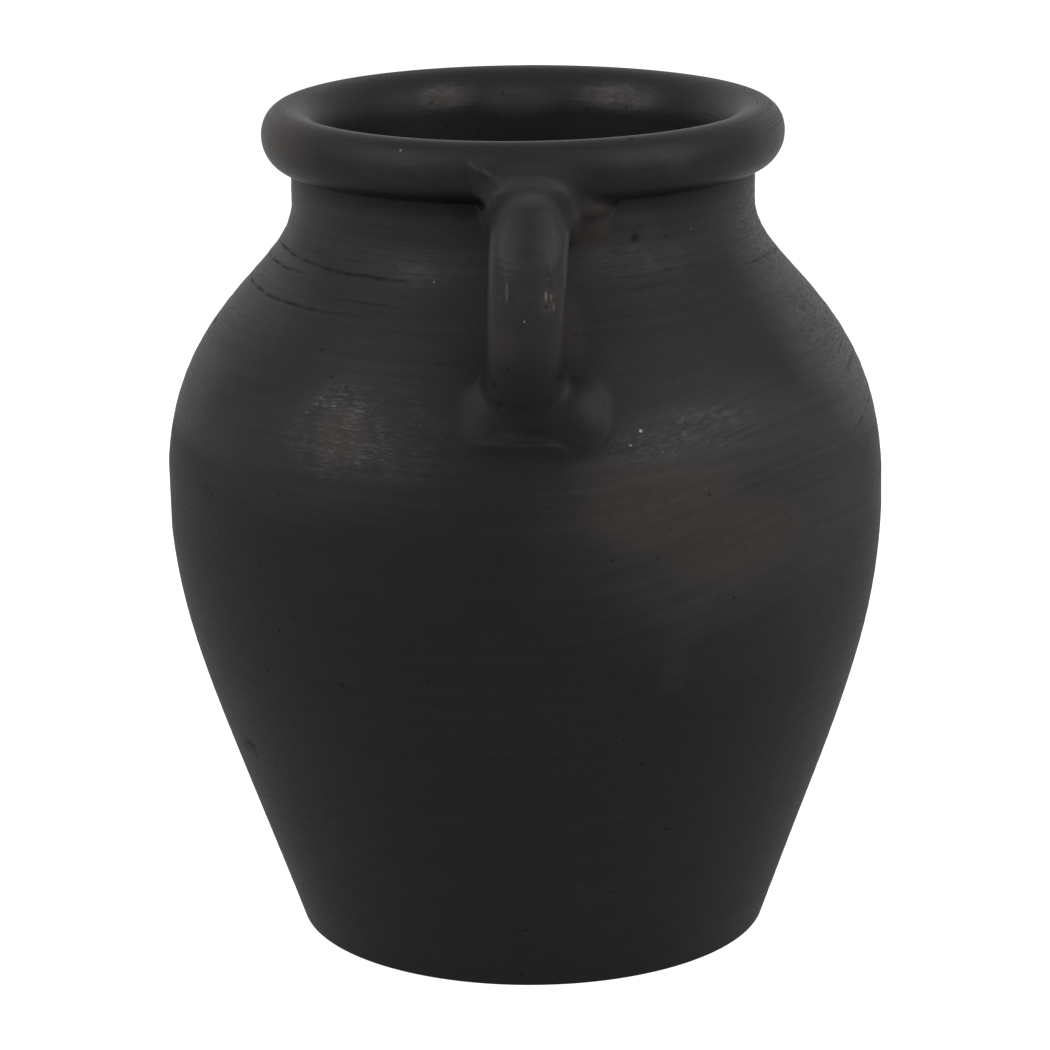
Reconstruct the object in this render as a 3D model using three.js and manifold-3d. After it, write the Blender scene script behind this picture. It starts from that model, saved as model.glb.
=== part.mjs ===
// A wheel-thrown terracotta jar with a rolled rim and two pulled handles, fired black.
// Millimetres, +Z up. The origin is the middle of the foot, on the surface that the jar stands on.
// The front handle points along -Y and the back handle along +Y.
import * as THREE from "three";
import { mergeVertices } from "three/addons/utils/BufferGeometryUtils.js";
import Module from "manifold-3d";

// The thrown body: overall height, and the radius and height of each turn of its wall
const HEIGHT = 233.5;
const FOOT_RADIUS = 66.2;
const BELLY_RADIUS = 100.1;
const BELLY_HEIGHT = 126.7;
const NECK_RADIUS = 63.9;
const NECK_LENGTH = 10;
const WALL = 9;
const FLOOR = 10;
const FLOOR_CORNER = 16;

// The underside: a flat ring to stand on, round at its outer edge, round a shallow hollow
const FOOT_EDGE = 2.5;
const FOOT_RING_WIDTH = 14;
const FOOT_HOLLOW_DEPTH = 2;
const FOOT_HOLLOW_SLOPE = 4;

// How full the wall's curves are: shares of the way out and up to the end of each curve
const FLARE_OUT = 0.64;
const FLARE_UP = 0.5;
const BELLY_UP = 0.7;
const SHOULDER_UP = 0.64;
const NECK_UP = 0.74;

// The rolled rim, a thick coil of clay lapped over the neck's edge and smoothed down inside the mouth
const ROLL_OVERHANG = 7.9;
const ROLL_CREST = 1.4;
const ROLL_RISE = 7.75;
const ROLL_DROP = 8.8;
const ROLL_LAP = 4.4;

// The pulled handles, from the crease under the roll to the shoulder
const HANDLE_WIDTH = 20;
const HANDLE_THICKNESS = 17;
const FINGER_GAP = 16.5;
const HANDLE_ARCH = 4.5;
const UPPER_ROOT_DROP = 3.5;
const LOWER_ROOT_HEIGHT = 173.5;
const LOWER_ROOT_LEAN = 20;
const ROOT_SWELL = 1.2;
const ROOT_SWELL_LENGTH = 14;

// How late the handle turns down: the share of its upper half's drop that its arch leaves below it.
// Its lower end comes in on a slant, so it runs on by this share of its thickness before it is cut.
const ARCH_TURN = 0.88;
const LOWER_ROOT_RUN = 0.8;

// The clay smeared round a handle's upper root, which runs out along the handle as a flare
const COLLAR_ACROSS = 7;
const COLLAR_ABOVE = 5.5;
const COLLAR_BELOW = 2.5;
const COLLAR_LENGTH = 17;

// The clay thumbed round a handle's lower root: a squarish pad with a lobe on each side of a dent
const PAD_WIDTH = 38;
const PAD_HEIGHT = 23;
const PAD_THICKNESS = 5;
const PAD_DROP = 7.5;
const THUMB_WIDTH = 15;
const THUMB_DEPTH = 2.5;

// The slip that lutes one piece of clay to the next
const SLIP = 0.3;

// Facets: round the jar, along each wall curve, round the roll, and along and round a handle
const JAR_SIDES = 64;
const WALL_STEPS = 10;
const CORNER_STEPS = 4;
const ROLL_STEPS = 14;
const MOUTH_STEPS = 6;
const HANDLE_STEPS = 24;
const COLLAR_STEPS = 7;
const HANDLE_SIDES = 20;
const PAD_SIDES = 24;
const PAD_RINGS = 14;

// The crest's distance from the axis, and the heights that follow from the sizes above
const rollCrest = NECK_RADIUS + ROLL_CREST;
const rollWidest = HEIGHT - ROLL_RISE;
const rollUnderside = rollWidest - ROLL_DROP;
const neckTop = rollUnderside + ROLL_LAP;
const neckFoot = rollUnderside - NECK_LENGTH;

const wasm = await Module();
wasm.setup();

// A closed geometry as a solid that can be joined and cut
function solidFrom(geometry) {
  const bare = geometry.clone();
  bare.deleteAttribute("normal");
  bare.deleteAttribute("uv");
  const merged = mergeVertices(bare);
  const mesh = new wasm.Mesh({
    numProp: 3,
    vertProperties: merged.attributes.position.array,
    triVerts: new Uint32Array(merged.index.array),
  });
  return new wasm.Manifold(mesh);
}

// A solid back as a geometry for drawing
function geometryFrom(solid) {
  const mesh = solid.getMesh();
  const geometry = new THREE.BufferGeometry();
  geometry.setAttribute("position", new THREE.BufferAttribute(mesh.vertProperties, mesh.numProp));
  geometry.setIndex(new THREE.BufferAttribute(mesh.triVerts, 1));
  geometry.computeVertexNormals();
  return geometry;
}

// A named piece of black-fired clay, with its own finish
function clayMesh(name, geometry, colour, roughness) {
  const finish = new THREE.MeshStandardMaterial({ color: colour, roughness, metalness: 0 });
  const mesh = new THREE.Mesh(geometry, finish);
  mesh.name = name;
  return mesh;
}

const at = (radius, height) => new THREE.Vector2(radius, height);

// A profile turned on the wheel, about the vertical axis
function thrown(profile) {
  return new THREE.LatheGeometry(profile, JAR_SIDES).rotateX(Math.PI / 2);
}

// The outer face of the wall: from the foot out to the belly, then in over the shoulder to the neck
const lowerWall = new THREE.CubicBezierCurve(
  at(FOOT_RADIUS, 0),
  at(FOOT_RADIUS + FLARE_OUT * (BELLY_RADIUS - FOOT_RADIUS), FLARE_UP * BELLY_HEIGHT),
  at(BELLY_RADIUS, BELLY_UP * BELLY_HEIGHT),
  at(BELLY_RADIUS, BELLY_HEIGHT),
);
const upperRise = neckFoot - BELLY_HEIGHT;
const upperWall = new THREE.CubicBezierCurve(
  at(BELLY_RADIUS, BELLY_HEIGHT),
  at(BELLY_RADIUS, BELLY_HEIGHT + SHOULDER_UP * upperRise),
  at(NECK_RADIUS, BELLY_HEIGHT + NECK_UP * upperRise),
  at(NECK_RADIUS, neckFoot),
);

// Points up the wall's outer face from foot to neck, moved out along the face's normal
function wallPoints(outwards) {
  const points = [];
  for (const curve of [lowerWall, upperWall]) {
    for (let step = points.length ? 1 : 0; step <= WALL_STEPS; step += 1) {
      const share = step / WALL_STEPS;
      const face = curve.getPoint(share);
      const along = curve.getTangent(share);
      points.push(at(face.x + outwards * along.y, face.y - outwards * along.x));
    }
  }
  return points;
}

// Where the shoulder's outer face is at a height, and which way it runs there
function shoulderAt(height) {
  const halvings = 40;
  let low = 0;
  let high = 1;
  for (let halving = 0; halving < halvings; halving += 1) {
    const middle = (low + high) / 2;
    if (upperWall.getPoint(middle).y < height) low = middle;
    else high = middle;
  }
  return { face: upperWall.getPoint(low), along: upperWall.getTangent(low) };
}

// The rounded corner between the inner wall and the floor, down to the flat of the floor
function floorCorner(above, wallEnd) {
  const lean = (above.x - wallEnd.x) / (above.y - wallEnd.y);
  const cornerRadius = wallEnd.x - lean * (wallEnd.y - FLOOR);
  const bend = new THREE.QuadraticBezierCurve(
    wallEnd,
    at(cornerRadius, FLOOR),
    at(cornerRadius - FLOOR_CORNER, FLOOR),
  );
  return bend.getPoints(CORNER_STEPS).slice(1);
}

// The body's section, from the hollow under the foot, up the outside and down the inside to the floor
function bodyProfile() {
  const ringOut = FOOT_RADIUS - FOOT_EDGE;
  const ringIn = ringOut - FOOT_RING_WIDTH;
  const outer = wallPoints(0);
  const edgeEnd = lowerWall.getPointAt(FOOT_EDGE / lowerWall.getLength());
  const edge = new THREE.QuadraticBezierCurve(at(ringOut, 0), outer[0], edgeEnd);
  const inner = wallPoints(-WALL).reverse().filter((p) => p.y > FLOOR + FLOOR_CORNER);
  return [
    at(0, FOOT_HOLLOW_DEPTH),
    at(ringIn - FOOT_HOLLOW_SLOPE, FOOT_HOLLOW_DEPTH),
    at(ringIn, 0),
    ...edge.getPoints(CORNER_STEPS),
    ...outer.slice(1),
    at(NECK_RADIUS, neckTop),
    at(NECK_RADIUS - WALL, neckTop),
    ...inner,
    ...floorCorner(inner.at(-2), inner.at(-1)),
    at(0, FLOOR),
  ];
}

// The roll's outside, from its lowest line out over the widest to the crest: two quarters of an oval
function rollOutside(grow) {
  const points = [];
  for (let step = 0; step <= ROLL_STEPS; step += 1) {
    const angle = Math.PI * (step / ROLL_STEPS - 0.5);
    const halfHeight = angle > 0 ? ROLL_RISE : ROLL_DROP;
    points.push(
      at(
        rollCrest + (ROLL_OVERHANG - ROLL_CREST + grow) * Math.cos(angle),
        rollWidest + (halfHeight + grow) * Math.sin(angle),
      ),
    );
  }
  return points;
}

// The roll's inside, from the crest down to its seat, where it runs smoothly into the neck's inner face
function mouthSlope(seat) {
  const across = rollCrest - (NECK_RADIUS - WALL);
  const points = [];
  for (let step = 1; step <= MOUTH_STEPS; step += 1) {
    const angle = (Math.PI / 2) * (step / MOUTH_STEPS);
    points.push(at(rollCrest - across * Math.sin(angle), seat + (HEIGHT - seat) * Math.cos(angle)));
  }
  return points;
}

// The rim's section, from its seat on the neck down beside the neck, round the outside and back inside
function rimProfile() {
  const seat = neckTop + SLIP;
  const neckSide = NECK_RADIUS + SLIP;
  return [
    at(neckSide, seat),
    at(neckSide, rollUnderside),
    ...rollOutside(0),
    ...mouthSlope(seat),
    at(neckSide, seat),
  ];
}

// Everything inside the jar's outer faces, with the slip on them: what the handles are cut to
function jarWithSlip() {
  const wall = wallPoints(SLIP);
  const neck = NECK_RADIUS + SLIP;
  const body = thrown([at(0, wall[0].y), ...wall, at(neck, neckTop), at(0, neckTop)]);
  const roll = thrown([at(0, rollUnderside), ...rollOutside(SLIP), at(0, HEIGHT)]);
  return solidFrom(body).add(solidFrom(roll));
}

// A closed solid through rings of points, with flat ends
function loft(rings) {
  const sides = rings[0].length;
  const points = rings.flat();
  const faces = [];
  for (let ring = 0; ring + 1 < rings.length; ring += 1) {
    for (let side = 0; side < sides; side += 1) {
      const a = ring * sides + side;
      const b = ring * sides + ((side + 1) % sides);
      faces.push(a, b, b + sides, a, b + sides, a + sides);
    }
  }
  const last = points.length - sides;
  for (let side = 1; side + 1 < sides; side += 1) {
    faces.push(0, side + 1, side, last, last + side, last + side + 1);
  }
  return new THREE.BufferGeometry().setFromPoints(points).setIndex(faces);
}

// A place in the plane of the front handle
const front = (radius, height) => new THREE.Vector3(0, -radius, height);

// How far the handle's middle line runs on inside the neck, and inside the shoulder, before it is cut
const upperBuried = WALL / 2;
const lowerBuried = LOWER_ROOT_RUN * HANDLE_THICKNESS;

// The middle line of the front handle, from inside the neck's wall to inside the shoulder's wall
function handleLine() {
  const upperRoot = rollUnderside - UPPER_ROOT_DROP;
  const lower = shoulderAt(LOWER_ROOT_HEIGHT).face;
  const lean = THREE.MathUtils.degToRad(LOWER_ROOT_LEAN);
  const inwards = front(-Math.sin(lean), -Math.cos(lean));
  const start = front(NECK_RADIUS - upperBuried, upperRoot);
  const reach = NECK_RADIUS + FINGER_GAP + HANDLE_THICKNESS / 2;
  const widest = front(reach, (upperRoot + LOWER_ROOT_HEIGHT) / 2);
  const halfDrop = (upperRoot - LOWER_ROOT_HEIGHT) / 2;
  const root = front(lower.x, lower.y);
  const line = new THREE.CurvePath();
  line.add(
    new THREE.CubicBezierCurve3(
      start,
      front(reach - HANDLE_ARCH, upperRoot + HANDLE_ARCH),
      front(reach, widest.z + ARCH_TURN * halfDrop),
      widest,
    ),
  );
  line.add(
    new THREE.CubicBezierCurve3(
      widest,
      front(reach, widest.z - halfDrop / 2),
      root.clone().addScaledVector(inwards, -halfDrop / 2),
      root,
    ),
  );
  line.add(new THREE.LineCurve3(root, root.clone().addScaledVector(inwards, lowerBuried)));
  return line;
}

// How much a handle's half sizes grow at a distance along its middle line, towards either root
function rootSwell(distance, length) {
  const fromRoot = Math.min(distance - upperBuried, length - lowerBuried - distance);
  const near = THREE.MathUtils.clamp(1 - fromRoot / ROOT_SWELL_LENGTH, 0, 1);
  return ROOT_SWELL * near * near;
}

// A solid along the middle line from its start. Its section is an oval with a half width, and a half
// thickness on its outer side and on the side towards the jar, all taken from its place on the line.
function alongHandle(line, end, steps, halfSizes) {
  const length = line.getLength();
  const across = new THREE.Vector3(1, 0, 0);
  const rings = [];
  for (let step = 0; step <= steps; step += 1) {
    const distance = (end * step) / steps;
    const middle = line.getPointAt(distance / length);
    const outwards = line.getTangentAt(distance / length).cross(across);
    const [halfWidth, outerHalf, innerHalf] = halfSizes(distance);
    const ring = [];
    for (let side = 0; side < HANDLE_SIDES; side += 1) {
      const angle = (side / HANDLE_SIDES) * 2 * Math.PI;
      const depth = Math.sin(angle) > 0 ? outerHalf : innerHalf;
      ring.push(
        middle
          .clone()
          .addScaledVector(across, halfWidth * Math.cos(angle))
          .addScaledVector(outwards, depth * Math.sin(angle)),
      );
    }
    rings.push(ring);
  }
  return solidFrom(loft(rings));
}

// The pulled handle, whole, as it is before its ends are cut to the jar
function pulledHandle(grow) {
  const line = handleLine();
  const length = line.getLength();
  return alongHandle(line, length, HANDLE_STEPS, (distance) => {
    const more = rootSwell(distance, length) + grow;
    const halfThickness = HANDLE_THICKNESS / 2 + more;
    return [HANDLE_WIDTH / 2 + more, halfThickness, halfThickness];
  });
}

// The clay smeared round the upper root, thick against the neck and the roll and thin along the handle
function rimCollar() {
  const line = handleLine();
  const length = line.getLength();
  return alongHandle(line, upperBuried + COLLAR_LENGTH, COLLAR_STEPS, (distance) => {
    const past = THREE.MathUtils.clamp((distance - upperBuried) / COLLAR_LENGTH, 0, 1);
    const left = (1 - past) * (1 - past);
    const more = rootSwell(distance, length) + SLIP;
    return [
      HANDLE_WIDTH / 2 + more + COLLAR_ACROSS * left,
      HANDLE_THICKNESS / 2 + more + COLLAR_ABOVE * left,
      HANDLE_THICKNESS / 2 + more + COLLAR_BELOW * left,
    ];
  });
}

// A ball of clay squashed to a squarish pad, thinner along its middle where the thumb pressed it
function thumbedClay() {
  const ball = new THREE.SphereGeometry(1, PAD_SIDES, PAD_RINGS);
  const points = ball.attributes.position;
  for (let index = 0; index < points.count; index += 1) {
    const point = new THREE.Vector3().fromBufferAttribute(points, index);
    const squareness = Math.cbrt(Math.abs(point.x) ** 3 + Math.abs(point.y) ** 3);
    const corner = squareness > 0 ? Math.hypot(point.x, point.y) / squareness : 1;
    const across = (point.x * corner * PAD_WIDTH) / 2;
    const fromThumb = (2 * across) / THUMB_WIDTH;
    const pressed = point.z > 0 ? THUMB_DEPTH * Math.exp(-fromThumb * fromThumb) : 0;
    points.setXYZ(
      index,
      across,
      (point.y * corner * PAD_HEIGHT) / 2,
      point.z * (PAD_THICKNESS - pressed),
    );
  }
  return ball;
}

// The clay thumbed on to the shoulder, a little below the middle of the handle's lower root
function shoulderPad() {
  const { face, along } = shoulderAt(LOWER_ROOT_HEIGHT - PAD_DROP);
  const place = new THREE.Matrix4().makeBasis(
    new THREE.Vector3(1, 0, 0),
    front(along.x, along.y),
    front(along.y, -along.x),
  );
  place.setPosition(front(face.x, face.y));
  return solidFrom(thumbedClay().applyMatrix4(place));
}

// A handle with the clay that holds it: modelled at the front, then turned round the jar
function handleSet(side, turn) {
  const jar = jarWithSlip();
  const handle = pulledHandle(0).subtract(jar);
  const cut = pulledHandle(SLIP).add(jar);
  const set = new THREE.Group();
  set.add(clayMesh(side + "_handle", geometryFrom(handle), 0x2b2c2e, 0.55));
  set.add(clayMesh(side + "_rim_collar", geometryFrom(rimCollar().subtract(cut)), 0x2a2a2b, 0.65));
  set.add(clayMesh(side + "_shoulder_pad", geometryFrom(shoulderPad().subtract(cut)), 0x29292b, 0.65));
  set.rotation.z = turn;
  return set;
}

const vase = new THREE.Group();
vase.add(clayMesh("thrown_body", thrown(bodyProfile()), 0x2c2b2e, 0.6));
vase.add(clayMesh("rolled_rim", thrown(rimProfile()), 0x2f2d2e, 0.6));
vase.add(handleSet("front", 0));
vase.add(handleSet("back", Math.PI));

export default vase;
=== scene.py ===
# A wheel-thrown terracotta jar with a rolled rim and two pulled handles, fired black.
# Metres, +Z up. The front handle points along -Y and the back handle along +Y.
import math
import random

import bmesh
import bpy
import numpy as np
from mathutils import Matrix, Vector, noise
from mathutils.geometry import interpolate_bezier


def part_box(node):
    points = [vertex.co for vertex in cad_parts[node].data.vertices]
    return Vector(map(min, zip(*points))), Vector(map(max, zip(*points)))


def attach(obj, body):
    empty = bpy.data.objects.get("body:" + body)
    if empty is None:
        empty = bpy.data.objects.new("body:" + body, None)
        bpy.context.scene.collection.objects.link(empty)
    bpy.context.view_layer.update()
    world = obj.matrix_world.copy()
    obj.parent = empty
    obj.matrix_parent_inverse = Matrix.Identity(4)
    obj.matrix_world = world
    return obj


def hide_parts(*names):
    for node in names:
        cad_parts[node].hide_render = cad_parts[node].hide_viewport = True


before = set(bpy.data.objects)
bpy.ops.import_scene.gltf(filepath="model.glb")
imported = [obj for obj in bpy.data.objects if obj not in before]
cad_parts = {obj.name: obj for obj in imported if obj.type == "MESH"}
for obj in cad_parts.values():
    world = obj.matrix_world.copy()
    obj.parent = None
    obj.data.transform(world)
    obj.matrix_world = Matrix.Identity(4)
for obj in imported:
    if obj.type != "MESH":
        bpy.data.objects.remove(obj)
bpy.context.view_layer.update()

MM = 0.001

# Sizes read from the frame
BODY_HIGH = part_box("thrown_body")[1]
RIM_LOW, RIM_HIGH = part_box("rolled_rim")
HANDLE_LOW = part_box("front_handle")[0]
HEIGHT = RIM_HIGH.z
BELLY_RADIUS = BODY_HIGH.x
NECK_TOP = BODY_HIGH.z
ROLL_RADIUS = RIM_HIGH.x
ROLL_UNDERSIDE = RIM_LOW.z

# The wall's other sizes: radii, heights, and how full its two curves are
FOOT_RADIUS = 66.2 * MM
BELLY_HEIGHT = 126.7 * MM
NECK_RADIUS = 63.9 * MM
NECK_LENGTH = 10 * MM
NECK_FOOT = ROLL_UNDERSIDE - NECK_LENGTH
WALL = 9 * MM
FLOOR = 10 * MM
FLOOR_CORNER = 16 * MM
FLARE_OUT = 0.64
FLARE_UP = 0.5
BELLY_UP = 0.7
SHOULDER_UP = 0.64
NECK_UP = 0.74

# The underside: a flat ring, round at its outer edge, round a shallow hollow
FOOT_EDGE = 1.0 * MM
FOOT_RING_WIDTH = 14 * MM
FOOT_HOLLOW_DEPTH = 2 * MM
FOOT_HOLLOW_SLOPE = 4 * MM
HOLLOW_BEND_IN = FOOT_HOLLOW_SLOPE / 4
HOLLOW_BEND_UP = FOOT_HOLLOW_DEPTH / 5

# The roll's section: half an oval outside its crest, and a slope from the crest into the neck
ROLL_CREST = 1.4 * MM
ROLL_RISE = 7.75 * MM
ROLL_DROP = 8.8 * MM
ROLL_MIDDLE = NECK_RADIUS + ROLL_CREST
ROLL_WIDEST = HEIGHT - ROLL_RISE
ROLL_OUT = ROLL_RADIUS - ROLL_MIDDLE
MOUTH = NECK_RADIUS - WALL
ROLL_IN = ROLL_MIDDLE - MOUTH

# The roll's clay smeared down inside the mouth: where it thins out, and how far the wall's inner
# face is tucked back behind it
SMEAR_START = NECK_TOP - 8 * MM
SMEAR_END = NECK_TOP - 20 * MM
TUCK = 0.6 * MM

# The pulled handle's middle line and section
HANDLE_WIDTH_TOP = 20.4 * MM
HANDLE_WIDTH_FOOT = 19.2 * MM
HANDLE_THICKNESS = 17 * MM
HANDLE_SPARE = 0.2 * MM
HANDLE_REACH = -HANDLE_LOW.y - HANDLE_THICKNESS / 2 - HANDLE_SPARE
HANDLE_ARCH = 4.5 * MM
ARCH_TURN = 0.88
ROOT_UNDER_ROLL = 3.5 * MM
UPPER_ROOT = ROLL_UNDERSIDE - ROOT_UNDER_ROLL
LOWER_ROOT = 173.5 * MM
LOWER_ROOT_LEAN = math.radians(20)
UPPER_BURIED = WALL / 2
LOWER_BURIED = 0.8 * HANDLE_THICKNESS
ROOT_SWELL = 1.2 * MM
ROOT_SWELL_LENGTH = 14 * MM

# How far the front handle stands to the side at its top and at its foot
HANDLE_ASIDE_TOP = 2.6 * MM
HANDLE_ASIDE_FOOT = -0.8 * MM

# How unround a hand leaves the jar, how uneven the lip's height is and how far it tilts, and how
# far the foot and the shoulder stand to the right of the belly
OUT_OF_ROUND = 0.28 * MM
LIP_UNEVEN = 0.18 * MM
LIP_TILT = 0.12 * MM
FOOT_ASIDE = 1.15 * MM
SHOULDER_ASIDE = -0.28 * MM

# Where that comes in: the band at the belly's edge that holds it back, what it spares there and how
# much further in it stays, the heights over which the wall's grows, the radius at which it is full,
# and the heights over which the step aside goes and the lip's own comes
BELLY_BAND = 5 * MM
BELLY_SPARE = 0.3 * MM
BELLY_IN = OUT_OF_ROUND / 3
UNEVEN_HEIGHTS = (4 * MM, 30 * MM)
UNEVEN_RADIUS = 30 * MM
ASIDE_HEIGHTS = (45 * MM, 150 * MM)
LIP_HEIGHTS = (190 * MM, 228 * MM)

# Corners nearer than this are one corner, and the least radius, share and size that are divided by
TINY = 0.001 * MM
LEAST_RADIUS = 0.01 * MM
LEAST_SHARE = 0.01
LEAST_SIZE = 0.001

# How closely the meshes follow their curves
CURVE_POINTS = 400
LINE_CURVE_POINTS = 60
NECK_ROWS = 40
BODY_SIDES = 224
RIM_SIDES = 240
WALL_ROW = 1.5 * MM
MARKED_ROW = 0.42 * MM
MARKED_FROM = 146 * MM
MARKED_TO = 211 * MM


def bezier(start, first, second, end, count):
    """Points along a curve between two (radius, height) places."""
    corners = [Vector((r, 0, z)) for r, z in (start, first, second, end)]
    points = interpolate_bezier(*corners, count)
    return np.array([(p.x, p.z) for p in points])


def arc_lengths(points):
    """How far along a line of points each of them is."""
    steps = np.linalg.norm(np.diff(points, axis=0), axis=1)
    return np.concatenate(([0], np.cumsum(steps)))


def read_rows(at, known, rows):
    """The two columns of rows, read between the values at which they are known."""
    return np.interp(at, known, rows[:, 0]), np.interp(at, known, rows[:, 1])


def places_along(points, distances):
    """Points at the given distances along a line of points."""
    return np.column_stack(read_rows(distances, arc_lengths(points), points))


def outer_wall():
    """Close points up the outer face from foot to neck, and the face's outward normals."""
    out = BELLY_RADIUS - FOOT_RADIUS
    lower = bezier(
        (FOOT_RADIUS, 0),
        (FOOT_RADIUS + FLARE_OUT * out, FLARE_UP * BELLY_HEIGHT),
        (BELLY_RADIUS, BELLY_UP * BELLY_HEIGHT),
        (BELLY_RADIUS, BELLY_HEIGHT),
        CURVE_POINTS,
    )
    rise = NECK_FOOT - BELLY_HEIGHT
    upper = bezier(
        (BELLY_RADIUS, BELLY_HEIGHT),
        (BELLY_RADIUS, BELLY_HEIGHT + SHOULDER_UP * rise),
        (NECK_RADIUS, BELLY_HEIGHT + NECK_UP * rise),
        (NECK_RADIUS, NECK_FOOT),
        CURVE_POINTS,
    )
    neck_heights = np.linspace(NECK_FOOT, NECK_TOP, NECK_ROWS + 1)[1:]
    neck = np.column_stack((np.full(NECK_ROWS, NECK_RADIUS), neck_heights))
    points = np.vstack((lower, upper[1:], neck))
    along = np.gradient(points, axis=0)
    along /= np.linalg.norm(along, axis=1)[:, None]
    return points, np.column_stack((along[:, 1], -along[:, 0]))


WALL_POINTS, WALL_NORMALS = outer_wall()
WALL_ARC = arc_lengths(WALL_POINTS)
INNER_POINTS = WALL_POINTS - WALL * WALL_NORMALS


def wall_radius(height):
    """The outer face's radius at a height, or at many."""
    return np.interp(height, WALL_POINTS[:, 1], WALL_POINTS[:, 0])


def wall_normal(height):
    """The outer face's normal at a height, as (outwards, up)."""
    return read_rows(height, WALL_POINTS[:, 1], WALL_NORMALS)


def smooth_step(low, high, value):
    """0 below low, 1 above high and smooth between."""
    share = np.clip((value - low) / (high - low), 0, 1)
    return share * share * (3 - 2 * share)


def band(rise_from, rise_to, fall_from, fall_to, value):
    """1 inside a band of values, 0 outside it, smooth where it rises and where it falls."""
    return smooth_step(rise_from, rise_to, value) * (1 - smooth_step(fall_from, fall_to, value))


def tucked(height):
    """How much of the tuck the wall's inner face has at a height, under the roll's smeared clay."""
    return smooth_step(SMEAR_END, SMEAR_START, height)


def roll_section(inset, steps):
    """The roll from its lowest line out over the crest and down the slope into the mouth."""
    angles = np.linspace(-math.pi / 2, math.pi / 2, steps)
    half = np.where(angles < 0, ROLL_DROP, ROLL_RISE) - inset
    radii = ROLL_MIDDLE + (ROLL_OUT - inset) * np.cos(angles)
    outside = np.column_stack((radii, ROLL_WIDEST + half * np.sin(angles)))
    angles = np.linspace(0, math.pi / 2, steps)[1:]
    heights = NECK_TOP + (HEIGHT - NECK_TOP - inset) * np.cos(angles)
    slope = np.column_stack((ROLL_MIDDLE - (ROLL_IN - inset) * np.sin(angles), heights))
    return np.vstack((outside, slope))


# A wave's least and most share of its strength
WAVE_SHARES = (0.6, 1.0)


def waves(seed, count, strength, around, upward):
    """Seeded slow waves, each (strength, turns round the jar, turns per metre up, phase)."""
    draw = random.Random(seed)
    return [
        (
            strength / count * draw.uniform(*WAVE_SHARES),
            draw.randint(*around),
            math.tau * draw.uniform(*upward),
            draw.uniform(0, math.tau),
        )
        for _ in range(count)
    ]


def sum_waves(parts, turn, height):
    """The waves' sum at angles round the jar and heights."""
    return sum(s * np.cos(n * turn + up * height + phase) for s, n, up, phase in parts)


ROUND_WAVES = waves(3, 4, OUT_OF_ROUND, (1, 3), (-4, 4))
LIP_WAVES = waves(8, 3, LIP_UNEVEN, (1, 3), (0, 0))


def turns_and_radii(points):
    """Angles round the jar from the front, growing to the right, and distances from its axis."""
    return np.arctan2(points[:, 0], -points[:, 1]), np.hypot(points[:, 0], points[:, 1])


def hand_thrown(points):
    """Points of the true form moved to where an uneven hand leaves them."""
    turn, radius = turns_and_radii(points)
    height = points[:, 2]
    belly = smooth_step(BELLY_RADIUS - BELLY_BAND, BELLY_RADIUS, radius)
    share = smooth_step(*UNEVEN_HEIGHTS, height) * np.clip(radius / UNEVEN_RADIUS, 0, 1)
    wobble = sum_waves(ROUND_WAVES, turn, height) - BELLY_IN * belly
    moved = np.minimum(radius + share * wobble, BELLY_RADIUS - BELLY_SPARE * belly)
    scale = moved / np.maximum(radius, LEAST_RADIUS)
    foot_share = 1 - smooth_step(*ASIDE_HEIGHTS, height)
    aside = SHOULDER_ASIDE + (FOOT_ASIDE - SHOULDER_ASIDE) * foot_share
    lip = sum_waves(LIP_WAVES, turn, height) - LIP_UNEVEN
    lip += LIP_TILT * (points[:, 0] / ROLL_RADIUS - 1)
    lifted = height + lip * smooth_step(*LIP_HEIGHTS, height)
    return np.column_stack(
        (points[:, 0] * scale + aside, points[:, 1] * scale, np.minimum(lifted, HEIGHT))
    )


def corners_of(bm):
    """A mesh's corner places as rows of x, y and z."""
    return np.array([v.co for v in bm.verts])


def place_corners(bm, points):
    """Moves a mesh's corners to the rows of points."""
    for vert, point in zip(bm.verts, points):
        vert.co = point


def press(bm, marks, hollows):
    """Moves each corner along its normal: out by a positive mark and in by a negative one.
    Hollows, from 0 to 1, say how dark the colour is painted there, as soot and painted shade."""
    bm.normal_update()
    soot_and_shade = bm.verts.layers.float.new("soot_and_shade")
    for vert, mark, hollow in zip(bm.verts, marks, np.clip(hollows, 0, 1)):
        vert.co += vert.normal * mark
        vert[soot_and_shade] = hollow


def draw_round(bm, geom, angle, steps, merge):
    """Draws corners, edges and faces round the jar's axis."""
    bmesh.ops.spin(
        bm,
        geom=geom,
        cent=(0, 0, 0),
        axis=(0, 0, 1),
        dvec=(0, 0, 0),
        angle=angle,
        steps=steps,
        use_merge=merge,
        use_normal_flip=False,
        use_duplicate=False,
    )


def spun(profile, sides, closed):
    """A (radius, height) profile turned on the wheel, closed on itself or ended on the axis."""
    bm = bmesh.new()
    verts = [bm.verts.new((r, 0, z)) for r, z in profile]
    pairs = list(zip(verts, verts[1:]))
    if closed:
        pairs.append((verts[-1], verts[0]))
    edges = [bm.edges.new(pair) for pair in pairs]
    draw_round(bm, verts + edges, math.tau, sides, merge=True)
    bmesh.ops.remove_doubles(bm, verts=bm.verts, dist=TINY)
    bmesh.ops.recalc_face_normals(bm, faces=bm.faces)
    return bm


def mesh_from(name, bm):
    """A mesh's data, made from a bmesh that isn't needed any more."""
    mesh = bpy.data.meshes.new(name)
    bm.to_mesh(mesh)
    bm.free()
    return mesh


def in_scene(name, data):
    """A new object in the scene."""
    made = bpy.data.objects.new(name, data)
    bpy.context.scene.collection.objects.link(made)
    return made


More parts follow.
